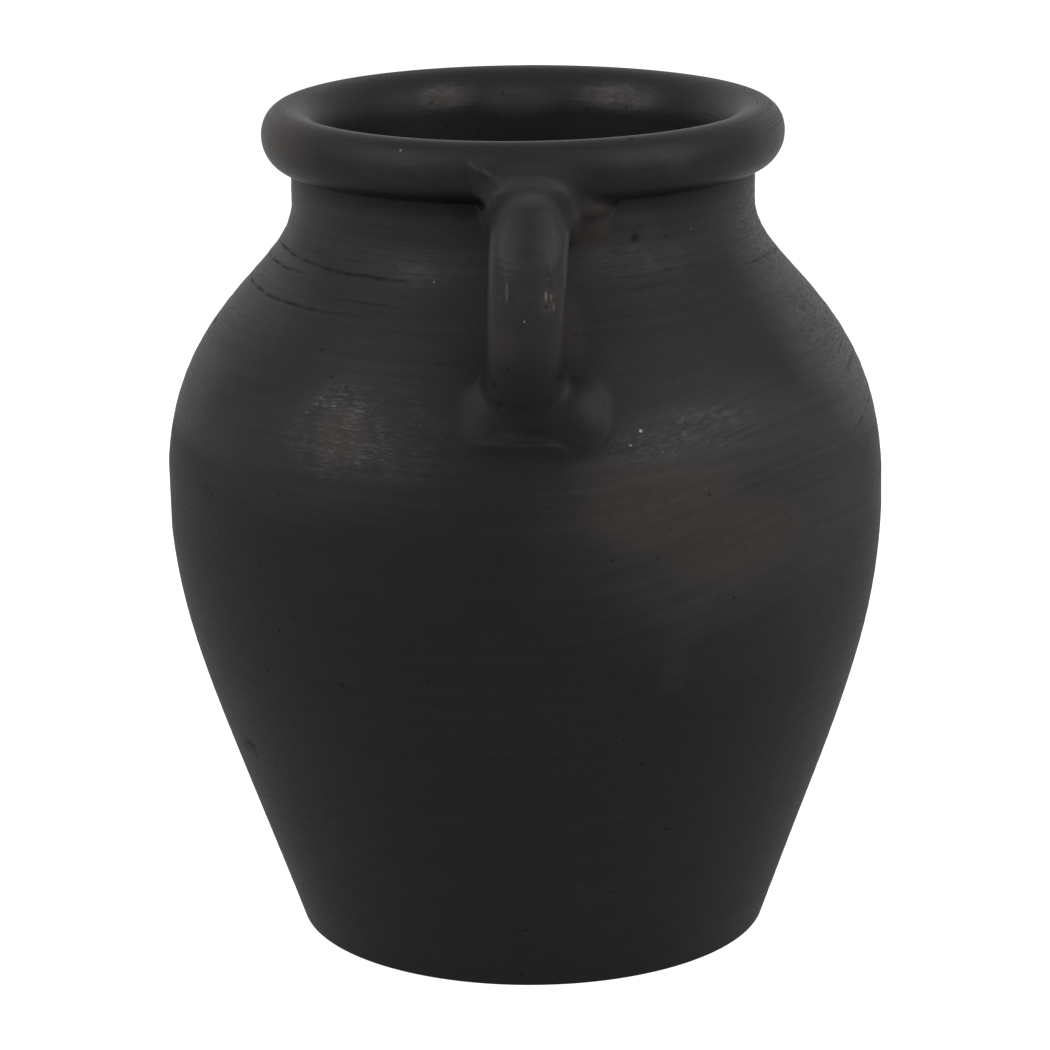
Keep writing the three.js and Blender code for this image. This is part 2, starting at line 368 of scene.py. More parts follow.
def finished(name, bm, finish, slot, *nodes):
    """A mesh as a smooth-shaded piece that stands for CAD nodes."""
    mesh = mesh_from(name, bm)
    mesh.materials.append(finish)
    mesh.shade_smooth()
    piece = in_scene(name, mesh)
    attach(piece, "root")
    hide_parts(*nodes)
    return piece


# Lines that the tools cut into the turning wall: depth and half width in millimetres, then places
# along the line as degrees round the jar and height in millimetres
CUT_LINES = [
    (0.30, 0.27, ((-84, 196.4), (-55, 195.9), (-42, 195.7), (-31, 195.6), (-20, 195.9))),
    (0.24, 0.27, ((-88, 192.4), (-70, 192.6), (-54, 193.4))),
    (0.28, 0.27, ((-92, 186.0), (-60, 186.0), (-34, 186.7))),
    (0.14, 0.24, ((-50, 189.8), (-25, 189.5))),
    (0.12, 0.24, ((-70, 198.6), (-28, 198.9))),
    (0.10, 0.24, ((-48, 201.0), (-16, 200.7))),
    (0.14, 0.26, ((17, 196.4), (34, 196.9), (48, 197.2))),
    (0.12, 0.24, ((18, 198.8), (40, 199.6), (56, 200.6))),
    (0.10, 0.24, ((16, 193.2), (38, 194.6))),
    (0.10, 0.24, ((14, 202.4), (44, 202.8))),
    (0.20, 0.28, ((60, 194.4), (76, 193.2), (98, 192.2))),
    (0.14, 0.40, ((68, 163.2), (80, 164.2), (92, 164.8))),
    (0.18, 0.45, ((66, 149.4), (76, 151.6), (90, 155.0))),
    (0.12, 0.40, ((72, 131.4), (88, 133.2))),
    (0.24, 0.27, ((110, 194.6), (160, 195.2), (215, 194.4))),
    (0.20, 0.26, ((130, 189.8), (172, 190.6))),
    (0.24, 0.27, ((175, 186.2), (236, 185.2))),
    (0.14, 0.26, ((140, 200.4), (225, 199.8))),
]

# How a cut line comes and goes, how much of its depth it has usually, least and most, how far it
# strays in millimetres, and over how many degrees it runs out past its ends and fades before them
CUT_BREAKS = waves(24, 8, 1.8, (7, 90), (-60, 60))
CUT_USUAL = 0.85
CUT_LIMITS = (0.35, 1.2)
CUT_STRAYS = waves(25, 5, 0.5, (8, 44), (-30, 30))
CUT_PAST = 3
CUT_FADE = 9

# How deep a tool's mark is when it is painted fully dark, as soot and painted shade
SOOT_AND_SHADE_DEPTH = 0.3 * MM

# Small dents pressed or knocked into the wall: degrees round the jar and height, then half sizes
# round and up, and depth in millimetres, less than 0 for a lump
DENTS = [
    (-91, 146.8, 1.6, 0.7, 0.6),
    (-87, 173.5, 1.2, 0.6, 0.5),
    (88, 154.6, 1.8, 0.8, 0.5),
    (36.4, 117.5, 0.5, 0.45, 0.35),
    (32.8, 95.9, 0.5, 0.45, 0.35),
    (24, 209.2, 1.7, 2.6, -0.6),
    (30, 207.5, 1.6, 2.2, -0.4),
    (27, 206.0, 1.0, 1.2, 0.4),
    (-62, 62.0, 3.0, 1.2, 0.25),
    (140, 120.0, 0.8, 0.6, 0.4),
    (-150, 88.0, 2.5, 1.0, 0.3),
    (205, 166.0, 0.7, 0.6, 0.4),
]

# Throwing ridges, slow and fine, how they take turns, how strong they are on the lower wall, and
# the heights over which they come to their full strength
SLOW_RIDGES = waves(21, 6, 0.15 * MM, (-1, 1), (90, 240))
FINE_RIDGES = waves(22, 6, 0.09 * MM, (-1, 1), (280, 460))
RIDGE_FADE = waves(23, 5, 1.0, (1, 4), (-30, 30))
SLOW_SHARE = 0.55
RIDGES_BELOW = 0.45
RIDGE_HEIGHTS = (120 * MM, 165 * MM)


def degrees_from(degrees, middle):
    """Degrees round the jar, counted so that the far side from the middle is the jump."""
    return (degrees - middle + 180) % 360 - 180 + middle


def cut_marks(degrees, height):
    """How far the cut lines and the dents stand out, in metres, less than 0 going in."""
    marks = np.zeros_like(height)
    turn_all = np.radians(degrees)
    unbroken = np.clip(CUT_USUAL + sum_waves(CUT_BREAKS, turn_all, height), *CUT_LIMITS)
    strays = sum_waves(CUT_STRAYS, turn_all, height)
    for depth, half_width, line in CUT_LINES:
        turns, heights = zip(*line)
        first, last = turns[0], turns[-1]
        along = degrees_from(degrees, (first + last) / 2)
        ends = (first - CUT_PAST, first + CUT_FADE, last - CUT_FADE, last + CUT_PAST)
        shown = band(*ends, along)
        across = (height / MM - np.interp(along, turns, heights) - strays) / half_width
        marks -= unbroken * shown * depth * MM * np.exp(-across * across)
    for turn, middle, half_round, half_up, depth in DENTS:
        radius = wall_radius(middle * MM) / MM
        aside = np.radians(degrees_from(degrees, turn) - turn) * radius / half_round
        above = (height / MM - middle) / half_up
        marks -= depth * MM * np.exp(-aside * aside - above * above)
    return marks


# Torn grain: its depth, its sizes across and up, the bands of heights and degrees where it lies to
# the right and, less, to the left, how much finer the second grain is and what it adds, the random
# value from which it tears, how sharply it goes in, and the least share that is worked out
TORN_DEPTH = 0.06 * MM
TORN_SIZE = Vector((4.2, 4.2, 0.8)) * MM
TORN_HEIGHTS = (150 * MM, 160 * MM, 212 * MM, 215 * MM)
TORN_RIGHT = (48, 66, 112, 128)
TORN_LEFT = (68, 84, 108, 122)
TORN_LEFT_SHARE = 0.35
TORN_FINER = 2.1
TORN_FINER_SHARE = 0.5
TORN_LEVEL = 0.05
TORN_SHARPNESS = 3
TORN_LEAST = 0.02


def torn_marks(points, degrees):
    """Grain torn out of the shoulder, most of it on the right, a little on the left edge."""
    sides = band(*TORN_RIGHT, degrees) + TORN_LEFT_SHARE * band(*TORN_LEFT, -degrees)
    share = band(*TORN_HEIGHTS, points[:, 2]) * sides
    marks = np.zeros(len(points))
    for index in np.flatnonzero(share > TORN_LEAST):
        x, y, z = points[index]
        spot = Vector((x / TORN_SIZE.x, y / TORN_SIZE.y, z / TORN_SIZE.z))
        value = noise.noise(spot) + TORN_FINER_SHARE * noise.noise(spot * TORN_FINER)
        opened = min(max(value - TORN_LEVEL, 0) * TORN_SHARPNESS, 1)
        marks[index] = -TORN_DEPTH * share[index] * opened
    return marks


def thrown_ridges(turn, height):
    """How far the outer face stands in or out where the fingers drew it up."""
    fade = SLOW_SHARE + (1 - SLOW_SHARE) * sum_waves(RIDGE_FADE, turn, height)
    marks = fade * sum_waves(SLOW_RIDGES, turn, height)
    marks += (1 - fade) * sum_waves(FINE_RIDGES, turn, height)
    return marks * (RIDGES_BELOW + (1 - RIDGES_BELOW) * smooth_step(*RIDGE_HEIGHTS, height))


def rows_up_the_wall():
    """Places up the outer face, close together over the shoulder where the marks are."""
    fine_from, fine_to = np.interp((MARKED_FROM, MARKED_TO), WALL_POINTS[:, 1], WALL_ARC)
    below = np.arange(FOOT_EDGE, fine_from, WALL_ROW)
    marked = np.arange(fine_from, fine_to, MARKED_ROW)
    return np.concatenate((below, marked, np.arange(fine_to, WALL_ARC[-1], WALL_ROW)))


# The inner face: how much of it can be seen from the mouth, how close its rows are there and below,
# the rows that give its slope above the floor, how full the floor's corner is, and the floor's rings
INNER_SEEN = 70 * MM
INNER_ROW_SEEN = 1.4 * MM
INNER_ROW_HIDDEN = 4 * MM
SLOPE_ROWS = 40
CORNER_FULL = 2 / 3
CORNER_POINTS = 9
FLOOR_RINGS = (0.7, 0.35, 0)


def inner_profile():
    """The body's inner face, from the neck's top down to the middle of the floor."""
    inner_all = INNER_POINTS[INNER_POINTS[:, 1] > FLOOR + FLOOR_CORNER][::-1]
    seen = np.arange(0, INNER_SEEN, INNER_ROW_SEEN)
    hidden = np.arange(INNER_SEEN, arc_lengths(inner_all)[-1], INNER_ROW_HIDDEN)
    inner = places_along(inner_all, np.concatenate((seen, hidden)))
    inner[:, 0] += TUCK * tucked(inner[:, 1])
    last = inner_all[-1]
    above = inner_all[-SLOPE_ROWS]
    slope = (above - last) / (above[1] - last[1])
    turn_at = last - slope * (last[1] - FLOOR)
    end = np.array([turn_at[0] - FLOOR_CORNER, FLOOR])
    first_pull = last + (turn_at - last) * CORNER_FULL
    second_pull = end + (turn_at - end) * CORNER_FULL
    corner = bezier(last, first_pull, second_pull, end, CORNER_POINTS)
    rings = [(share * end[0], FLOOR) for share in FLOOR_RINGS]
    return np.vstack((inner, corner[1:], rings))


def body_profile():
    """The body's section from the axis under the foot, up the outside and down the inside."""
    ring_out = FOOT_RADIUS - FOOT_EDGE
    ring_in = ring_out - FOOT_RING_WIDTH
    outer = places_along(WALL_POINTS, rows_up_the_wall())
    edge = bezier((ring_out, 0), (FOOT_RADIUS, 0), (FOOT_RADIUS, 0), outer[0], CORNER_POINTS)
    under = [
        (0, FOOT_HOLLOW_DEPTH),
        (ring_in / 2, FOOT_HOLLOW_DEPTH),
        (ring_in - FOOT_HOLLOW_SLOPE, FOOT_HOLLOW_DEPTH),
        (ring_in - HOLLOW_BEND_IN, HOLLOW_BEND_UP),
        (ring_in, 0),
    ]
    return np.vstack((under, edge[1:-1], outer, inner_profile()))


# Rings that the fingers left inside, the heights over which they fade below the mouth, and how high
# above the foot the marks are full
FINGER_RINGS = waves(31, 5, 0.22 * MM, (-1, 1), (110, 260))
RINGS_FADE = (192 * MM, 204 * MM)
MARKS_FULL = 6 * MM


def jar_body(finish):
    """The thrown wall and floor, with the marks that throwing leaves."""
    bm = spun(body_profile(), BODY_SIDES, closed=False)
    points = corners_of(bm)
    turn, radius = turns_and_radii(points)
    height = points[:, 2]
    face = wall_radius(height)
    outside = (radius > face - WALL / 3) & (height > FOOT_EDGE / 2)
    inside = (radius < face - WALL / 2) & (height > FLOOR + FLOOR_CORNER)
    degrees = np.degrees(turn)
    cuts = np.where(outside, cut_marks(degrees, height) + torn_marks(points, degrees), 0)
    marks = cuts + np.where(outside, thrown_ridges(turn, height), 0)
    rings = sum_waves(FINGER_RINGS, turn, height)
    rings *= 1 - smooth_step(*RINGS_FADE, height)
    marks += np.where(inside, rings, 0)
    press(bm, marks * smooth_step(0, MARKS_FULL, height), -cuts / SOOT_AND_SHADE_DEPTH)
    place_corners(bm, hand_thrown(corners_of(bm)))
    return finished("thrown_wall", bm, finish, "body_clay", "thrown_body")


# Fine lines round the roll, how they come and go, their usual strength and the soot and painted
# shade in them, and how the roll's thickness wanders, which is by half as much the other way inside
# the mouth
ROLL_LINES = waves(41, 6, 0.26 * MM, (-1, 1), (900, 1500))
ROLL_FADE = waves(42, 4, 1.0, (1, 3), (0, 0))
ROLL_LINES_USUAL = 0.6
ROLL_LINES_SOOT_AND_SHADE = 2
ROLL_PLUMP = waves(43, 4, 0.30 * MM, (2, 6), (-6, 6))
PLUMP_LIMITS = (-0.5, 1)

# The lines show to the right and left: the middle of the quiet front in degrees, how far from it
# they come in, their strength to the right and left, what is left of them in front and inside, and
# where out from the roll's middle they fade
LINES_QUIET_AT = -8
LINES_COME = (48, 84)
LINES_RIGHT = 0.84
LINES_LEFT = 0.5
LINES_LEAST = 0.08
LINES_INSIDE = 0.3
LINES_EDGE = (-5 * MM, 1 * MM)

# The rim's skirt inside the neck: its rows, three corners set in and down from the wall's, how far
# the marks take to come in above it, and how closely the roll's section is followed
SKIRT_ROWS = 12
SKIRT_TOE = (3 * MM, 12 * MM)
SKIRT_HEEL = (3 * MM, 3 * MM)
SKIRT_EDGE = (1.5 * MM, 0.6 * MM)
SKIRT_CLEAR = 2 * MM
ROLL_STEPS = 90
ROLL_ROWS = 132


def rim_section():
    """The rim's closed section: the roll, and its skirt down inside the neck."""
    heights = np.linspace(NECK_TOP, SMEAR_END, SKIRT_ROWS)[1:]
    inner = np.interp(heights, INNER_POINTS[:, 1], INNER_POINTS[:, 0])
    skirt = [
        *zip(inner + TUCK * (1 - tucked(heights)), heights),
        (MOUTH + SKIRT_TOE[0], NECK_TOP - SKIRT_TOE[1]),
        (NECK_RADIUS - SKIRT_HEEL[0], NECK_TOP - SKIRT_HEEL[1]),
        (NECK_RADIUS - SKIRT_EDGE[0], ROLL_UNDERSIDE + SKIRT_EDGE[1]),
    ]
    section = roll_section(0, ROLL_STEPS)
    section = places_along(section, np.linspace(0, arc_lengths(section)[-1], ROLL_ROWS))
    return np.vstack((section, skirt))


def rim_marks(points):
    """How far each of the rim's corners goes out or in, and how far the lines alone take it."""
    turn, radius = turns_and_radii(points)
    degrees = np.degrees(turn)
    out = radius - ROLL_MIDDLE
    up = points[:, 2] - ROLL_WIDEST
    run = np.arctan2(up, out) * ROLL_RISE
    strength = np.where(degrees > 0, LINES_RIGHT, LINES_LEFT)
    ends = LINES_LEAST + smooth_step(*LINES_COME, np.abs(degrees - LINES_QUIET_AT)) * strength
    ends *= LINES_INSIDE + (1 - LINES_INSIDE) * smooth_step(*LINES_EDGE, out)
    comes = ROLL_LINES_USUAL + (1 - ROLL_LINES_USUAL) * sum_waves(ROLL_FADE, turn, 0)
    lines = ends * comes * sum_waves(ROLL_LINES, turn, run)
    marks = lines + sum_waves(ROLL_PLUMP, turn, run) * np.clip(out / ROLL_OUT, *PLUMP_LIMITS)
    shown = smooth_step(NECK_TOP - SKIRT_CLEAR, NECK_TOP + SKIRT_CLEAR, points[:, 2])
    return marks * shown, lines * shown


def rim(finish):
    """The coil rolled over the neck's edge, smeared down inside the mouth."""
    bm = spun(rim_section(), RIM_SIDES, closed=True)
    marks, lines = rim_marks(corners_of(bm))
    press(bm, marks, -ROLL_LINES_SOOT_AND_SHADE * lines / SOOT_AND_SHADE_DEPTH)
    place_corners(bm, hand_thrown(corners_of(bm)))
    return finished("rim_roll", bm, finish, "rim_clay", "rolled_rim")


def handle_line():
    """Close points down the front handle's middle line as (radius, height)."""
    half_drop = (UPPER_ROOT - LOWER_ROOT) / 2
    widest = (HANDLE_REACH, (UPPER_ROOT + LOWER_ROOT) / 2)
    root = np.array([float(wall_radius(LOWER_ROOT)), LOWER_ROOT])
    inwards = np.array([-math.sin(LOWER_ROOT_LEAN), -math.cos(LOWER_ROOT_LEAN)])
    upper = bezier(
        (NECK_RADIUS - WALL / 2, UPPER_ROOT),
        (HANDLE_REACH - HANDLE_ARCH, UPPER_ROOT + HANDLE_ARCH),
        (HANDLE_REACH, widest[1] + ARCH_TURN * half_drop),
        widest,
        LINE_CURVE_POINTS,
    )
    lower = bezier(
        widest,
        (HANDLE_REACH, widest[1] - half_drop / 2),
        root - inwards * half_drop / 2,
        root,
        LINE_CURVE_POINTS,
    )
    return np.vstack((upper, lower[1:], [root + LOWER_BURIED * inwards]))


LINE_POINTS = handle_line()
LINE_LENGTH = arc_lengths(LINE_POINTS)[-1]

# How far a tube keeps from the line's ends, how far apart the two places are that give the line's
# direction, and how many sides and rings the tubes have
LINE_MARGIN = 0.3 * MM
LINE_AHEAD = 0.2 * MM
OVAL_SIDES = 48
STRAP_RINGS = 60
COLLAR_RINGS = 24


def line_place(distance):
    """A place on the middle line, and the line's direction there, in the front plane."""
    ends = (distance - LINE_AHEAD, distance + LINE_AHEAD)
    here, there = places_along(LINE_POINTS, ends)
    along = (there - here) / np.linalg.norm(there - here)
    return (here + there) / 2, along


def oval_along(bm, distances, shape):
    """A closed tube of oval rings along the middle line. The shape of each ring is its half width,
    half thickness, how far it stands aside and how far out from the line."""
    before = None
    for distance in distances:
        middle, along = line_place(distance)
        half_width, half_thickness, aside, outwards = shape(distance)
        normal = np.array([-along[1], along[0]])
        normal = normal if normal[0] + normal[1] > 0 else -normal
        centre = middle + outwards * normal
        ring = Matrix(
            (
                (half_width, 0, 0, aside),
                (0, -half_thickness * normal[0], -along[0], -centre[0]),
                (0, half_thickness * normal[1], along[1], centre[1]),
                (0, 0, 0, 1),
            )
        )
        if before is None:
            made = bmesh.ops.create_circle(
                bm, cap_ends=True, radius=1, segments=OVAL_SIDES, matrix=ring
            )
            verts = set(made["verts"])
            edges = [e for e in bm.edges if verts.issuperset(e.verts)]
        else:
            made = bmesh.ops.extrude_edge_only(bm, edges=edges)["geom"]
            verts = {g for g in made if isinstance(g, bmesh.types.BMVert)}
            edges = [
                g
                for g in made
                if isinstance(g, bmesh.types.BMEdge) and verts.issuperset(g.verts)
            ]
            bmesh.ops.transform(bm, matrix=ring @ before.inverted(), verts=list(verts))
        before = ring
    bmesh.ops.holes_fill(bm, edges=edges)


def root_swell(distance):
    """How much the handle's half sizes grow towards either root."""
    from_root = min(distance - UPPER_BURIED, LINE_LENGTH - LOWER_BURIED - distance)
    near = min(max(1 - from_root / ROOT_SWELL_LENGTH, 0), 1)
    return ROOT_SWELL * near * near


def handle_aside(distance, lean):
    """How far the handle stands to the side at a place on its line."""
    share = distance / LINE_LENGTH
    return lean * (HANDLE_ASIDE_TOP + (HANDLE_ASIDE_FOOT - HANDLE_ASIDE_TOP) * share)


# Smoothing draws the strap in by this much, so it starts that much thicker
DRAWN_IN = 0.35 * MM


def handle_stock(bm, lean):
    """The pulled strap of clay, whole, into the neck and the shoulder."""

    def shape(distance):
        share = distance / LINE_LENGTH
        width = HANDLE_WIDTH_TOP + (HANDLE_WIDTH_FOOT - HANDLE_WIDTH_TOP) * share
        more = root_swell(distance) + DRAWN_IN
        aside = handle_aside(distance, lean)
        return width / 2 + more, HANDLE_THICKNESS / 2 + more, aside, 0

    oval_along(bm, np.linspace(LINE_MARGIN, LINE_LENGTH - LINE_MARGIN, STRAP_RINGS), shape)


# How much wider, higher and lower than the strap its collar is at the rim, and how long it is
COLLAR_ACROSS = 2.5 * MM
COLLAR_ABOVE = 4.5 * MM
COLLAR_BELOW = 2 * MM
COLLAR_LENGTH = 17 * MM


def collar_stock(bm, lean):
    """The flare of clay round the upper root."""

    def shape(distance):
        past = min(max((distance - UPPER_BURIED) / COLLAR_LENGTH, 0), 1)
        left = (1 - past) ** 2
        more = root_swell(distance)
        return (
            HANDLE_WIDTH_TOP / 2 + more + COLLAR_ACROSS * left,
            HANDLE_THICKNESS / 2 + more + (COLLAR_ABOVE + COLLAR_BELOW) / 2 * left,
            handle_aside(distance, lean),
            (COLLAR_ABOVE - COLLAR_BELOW) / 2 * left,
        )

    oval_along(bm, np.linspace(LINE_MARGIN, UPPER_BURIED + COLLAR_LENGTH, COLLAR_RINGS), shape)


def on_wall(height):
    """How a lump lies on the wall: up along the wall's face from a height, and out from it."""
    start = np.interp(height, WALL_POINTS[:, 1], WALL_ARC)

    def place(up, out):
        face = places_along(WALL_POINTS, start + up)
        normal_out, normal_up = wall_normal(face[:, 1])
        return face[:, 0] + out * normal_out, face[:, 1] + out * normal_up

    return place


def in_crease(radius, height):
    """How a lump lies under the roll: up and out from one radius and height."""
    return lambda up, out: (radius + out, height + up)


# How finely a lump's ball is divided
LUMP_STEPS = 5


def lump(bm, place, across, sizes, square, soft, tilt):
    """A pressed lump of clay, bent round the jar. Its sizes are half of it across, up and out.
    Square is 2 for an oval and more for fuller corners. Soft is 1 for a steep edge and more for
    a flatter one. Its top leans right by the tilt."""
    ball = bmesh.ops.create_icosphere(bm, subdivisions=LUMP_STEPS, radius=1)["verts"]
    points = np.array([v.co for v in ball])
    flat = np.hypot(points[:, 0], points[:, 2])
    full = (np.abs(points[:, 0]) ** square + np.abs(points[:, 2]) ** square) ** (1 / square)
    fuller = flat / np.maximum(full, LEAST_SIZE)
    wide = points[:, 0] * fuller * sizes[0] * MM
    high = points[:, 2] * fuller * sizes[1] * MM
    out = np.sign(-points[:, 1]) * np.abs(points[:, 1]) ** soft * sizes[2] * MM
    lean = math.radians(tilt)
    aside = wide * math.cos(lean) + high * math.sin(lean)
    up = high * math.cos(lean) - wide * math.sin(lean)
    radius, height = place(up, out)
    turn = (across * MM + aside) / radius
    for vert, r, z, t in zip(ball, radius, height, turn):
        vert.co = (r * math.sin(t), -r * math.cos(t), z)


# Clay pressed in round the upper root: across, radius and height, half sizes across, up and out,
# how square, how soft, and tilt
COLLAR_LUMPS = [
    (0.4, 70.0, 223.0, (16.0, 6.2, 2.6), 2.0, 1.8, 0),
    (1.4, 71.6, 221.6, (14.0, 5.2, 3.2), 2.2, 1.6, 0),
    (-10.8, 70.6, 226.6, (5.5, 3.6, 1.9), 2, 1.2, -45),
    (12.0, 64.2, 213.5, (13.5, 9.8, 3.9), 2.0, 2.1, 8),
    (12.0, 66.0, 218.6, (15.0, 7.2, 5.5), 2.0, 1.9, 4),
]

# Clay thumbed on round the lower root: across and height, half sizes, how square, how soft, tilt
PAD_LUMPS = [
    (2.6, 166.0, (20.4, 11.8, 3.7), 3.2, 1.4, 2),
    (12.8, 166.8, (11.0, 11.4, 4.0), 2.6, 2.0, -4),
    (0.0, 172.0, (12.5, 7.5, 4.6), 2.2, 1.3, 0),
]


def pressed_lumps(bm, side):
    """The lumps round both roots. Side is -1 for a handle that leans the other way."""
    for across, radius, height, sizes, square, soft, tilt in COLLAR_LUMPS:
        place = in_crease(radius * MM, height * MM)
        lump(bm, place, side * across, sizes, square, soft, side * tilt)
    for across, height, sizes, square, soft, tilt in PAD_LUMPS:
        lump(bm, on_wall(height * MM), side * across, sizes, square, soft, side * tilt)


# Marks of thumbs and tools on the clay: across and height as seen from the front, half sizes
# across and up, how far its top leans right in degrees, how far it stands out (less than 0 goes
# in), all in millimetres, and how flat its middle is (1 is a soft mark, more is a crisper one)
TOUCHES = [
    (-10.6, 226.9, 1.2, 4.6, -55, 2.0, 1),
    (1.9, 213.0, 7.2, 5.8, 0, -0.85, 2),
    (1.7, 220.2, 8.5, 1.7, 0, 0.22, 1),
    (11.4, 213.6, 1.1, 4.6, 6, 0.30, 1),
    (-4.6, 200.8, 0.9, 4.6, 0, 0.25, 1),
    (-4.1, 209.2, 3.0, 0.6, 8, -0.15, 1),
    (-3.9, 207.0, 3.2, 0.5, 10, -0.16, 1),
    (-4.1, 205.1, 2.6, 0.5, 6, -0.12, 1),
    (7.1, 203.0, 0.7, 4.2, -9, 0.30, 1),
    (6.7, 198.6, 1.3, 2.8, 0, -0.30, 1),
    (10.1, 201.2, 0.8, 2.6, 0, 0.22, 1),
    (-0.2, 194.2, 0.9, 3.4, 4, -0.2, 1),
    (18.0, 213.6, 1.8, 3.2, 20, 0.30, 1),
    (15.4, 208.8, 2.2, 1.8, -30, -0.25, 1),
    (20.4, 208.5, 1.6, 2.6, 10, 0.22, 1),
    (19.0, 217.4, 2.4, 1.6, -20, -0.25, 1),
    (13.4, 217.6, 1.6, 3.4, 30, -0.25, 1),
    (0.0, 165.6, 9.5, 4.6, 4, -1.0, 1),
    (1.0, 162.8, 6.6, 2.2, 3, -1.7, 1),
    (-0.8, 159.8, 10.5, 1.2, -1, 0.75, 1),
    (7.8, 161.0, 4.6, 1.0, 22, -0.8, 1),
    (10.6, 176.2, 3.4, 1.8, -12, -0.45, 1),
    (-8.1, 174.4, 0.9, 1.6, -12, -0.6, 1),
    (-6.2, 169.6, 0.9, 0.9, 0, -0.45, 1),
]

# How deep a thumb's mark is when it is painted fully dark, as soot and painted shade
THUMB_SOOT_AND_SHADE_DEPTH = 3 * MM


def touched(bm, side):
    """Presses the marks of thumbs and tools into the front of the worked clay."""
    points = corners_of(bm)
    marks = np.zeros(len(points))
    for across, height, half_across, half_up, lean, depth, flat in TOUCHES:
        aside = side * points[:, 0] / MM - across
        above = points[:, 2] / MM - height
        tilt = math.radians(lean)
        wide = (aside * math.cos(tilt) - above * math.sin(tilt)) / half_across
        high = (aside * math.sin(tilt) + above * math.cos(tilt)) / half_up
        marks += depth * MM * np.exp(-((wide * wide + high * high) ** flat))
    press(bm, marks, -marks / THUMB_SOOT_AND_SHADE_DEPTH)


# The slice of jar that a handle is worked onto: how far it lies under the jar's faces, how thick it
# is, how low it starts, how far round it reaches to either side, and its rows up the wall (fewer on
# its back), over the roll and round
CORE_INSET = 0.6 * MM
CORE_DEPTH = 6 * MM
CORE_LOW = 140 * MM
CORE_HALF_TURN = math.radians(25)
CORE_WALL_ROWS = 110
CORE_BACK_EVERY = 6
CORE_ROLL_ROWS = 40
CORE_STEPS = 40


def core_slice(bm, outline):
    """A slice of the jar behind the front handle, from a closed (radius, height) outline."""
    begin = Matrix.Rotation(-math.pi / 2 - CORE_HALF_TURN, 4, "Z")
    verts = [bm.verts.new(begin @ Vector((r, 0, z))) for r, z in outline]
    face = bm.faces.new(verts)
    geom = [face, *face.edges, *verts]
    draw_round(bm, geom, 2 * CORE_HALF_TURN, CORE_STEPS, merge=False)


def jar_core(bm):
    """The wall and the roll behind the handle, a little under their faces."""
    low = np.interp(CORE_LOW, WALL_POINTS[:, 1], WALL_ARC)
    wall = places_along(WALL_POINTS, np.linspace(low, WALL_ARC[-1], CORE_WALL_ROWS))
    normal = np.column_stack(wall_normal(wall[:, 1]))
    back = wall - CORE_DEPTH * normal
    core_slice(bm, [*(wall - CORE_INSET * normal), *back[::-CORE_BACK_EVERY]])
    core_slice(bm, roll_section(CORE_INSET, CORE_ROLL_ROWS))


def above_jar(points):
    """How far points of the true form stand above the wall's or the roll's face."""
    _, radius = turns_and_radii(points)
    height = points[:, 2]
    over_wall = (radius - wall_radius(height)) * wall_normal(height)[0]
    sideways = radius - ROLL_MIDDLE
    upwards = height - ROLL_WIDEST
    wide = np.where(sideways > 0, ROLL_OUT, ROLL_IN)
    high = np.where(upwards > 0, ROLL_RISE, ROLL_DROP)
    share = np.maximum(np.hypot(sideways / wide, upwards / high), LEAST_SHARE)
    over_roll = (1 - 1 / share) * np.hypot(sideways, upwards)
    return np.minimum(over_wall, over_roll)


# How fine the joined clay is, how far each pass of smoothing goes and how many there are, how far
# below the jar's faces the clay is trimmed, and how far its edge then runs in under them
CLAY_GRAIN = 0.55 * MM
SMOOTHING_SHARE = 0.5
SMOOTHING_PASSES = 80
TRIM_BELOW = 0.4 * MM
EDGE_UNDER = 2 * MM


def worked_clay(stock):
    """Lumps and strap pressed into one: the stock's union, smoothed as wet fingers leave it."""
    mesh = mesh_from("stock", stock)
    lumps = in_scene("stock", mesh)
    union = lumps.modifiers.new("union", "REMESH")
    union.mode = "VOXEL"
    union.voxel_size = CLAY_GRAIN
    fingers = lumps.modifiers.new("fingers", "SMOOTH")
    fingers.factor = SMOOTHING_SHARE
    fingers.iterations = SMOOTHING_PASSES
    result = lumps.evaluated_get(bpy.context.evaluated_depsgraph_get()).to_mesh()
    bm = bmesh.new()
    bm.from_mesh(result)
    bpy.data.objects.remove(lumps)
    bpy.data.meshes.remove(mesh)
    return bm


def trimmed(bm):
    """Only what shows above the jar's faces, with an edge that runs under them, closed behind."""
    above = above_jar(corners_of(bm))
    buried = [v for v, height in zip(bm.verts, above) if height < -TRIM_BELOW]
    bmesh.ops.delete(bm, geom=buried, context="VERTS")
    made = bmesh.ops.extrude_edge_only(bm, edges=[e for e in bm.edges if e.is_boundary])
    for vert in (g for g in made["geom"] if isinstance(g, bmesh.types.BMVert)):
        vert.co.x *= 1 - EDGE_UNDER / NECK_RADIUS
        vert.co.y *= 1 - EDGE_UNDER / NECK_RADIUS
    bmesh.ops.holes_fill(bm, edges=[e for e in bm.edges if e.is_boundary])
    bmesh.ops.recalc_face_normals(bm, faces=bm.faces)


# Where a set is cut: how far out the collar ends and how high the pad does
COLLAR_CUT = 77.5 * MM
PAD_CUT = 179 * MM


def part_of_set(bm, keep):
    """A copy of the worked clay with only the faces whose middle passes the test, closed."""
    part = bm.copy()
    away = [f for f in part.faces if not keep(f.calc_center_median())]
    bmesh.ops.delete(part, geom=away, context="FACES")
    cap = part.faces.layers.int.new("cap")
    made = bmesh.ops.holes_fill(part, edges=[e for e in part.edges if e.is_boundary])
    for face in made["faces"]:
        face[cap] = 1
    return part


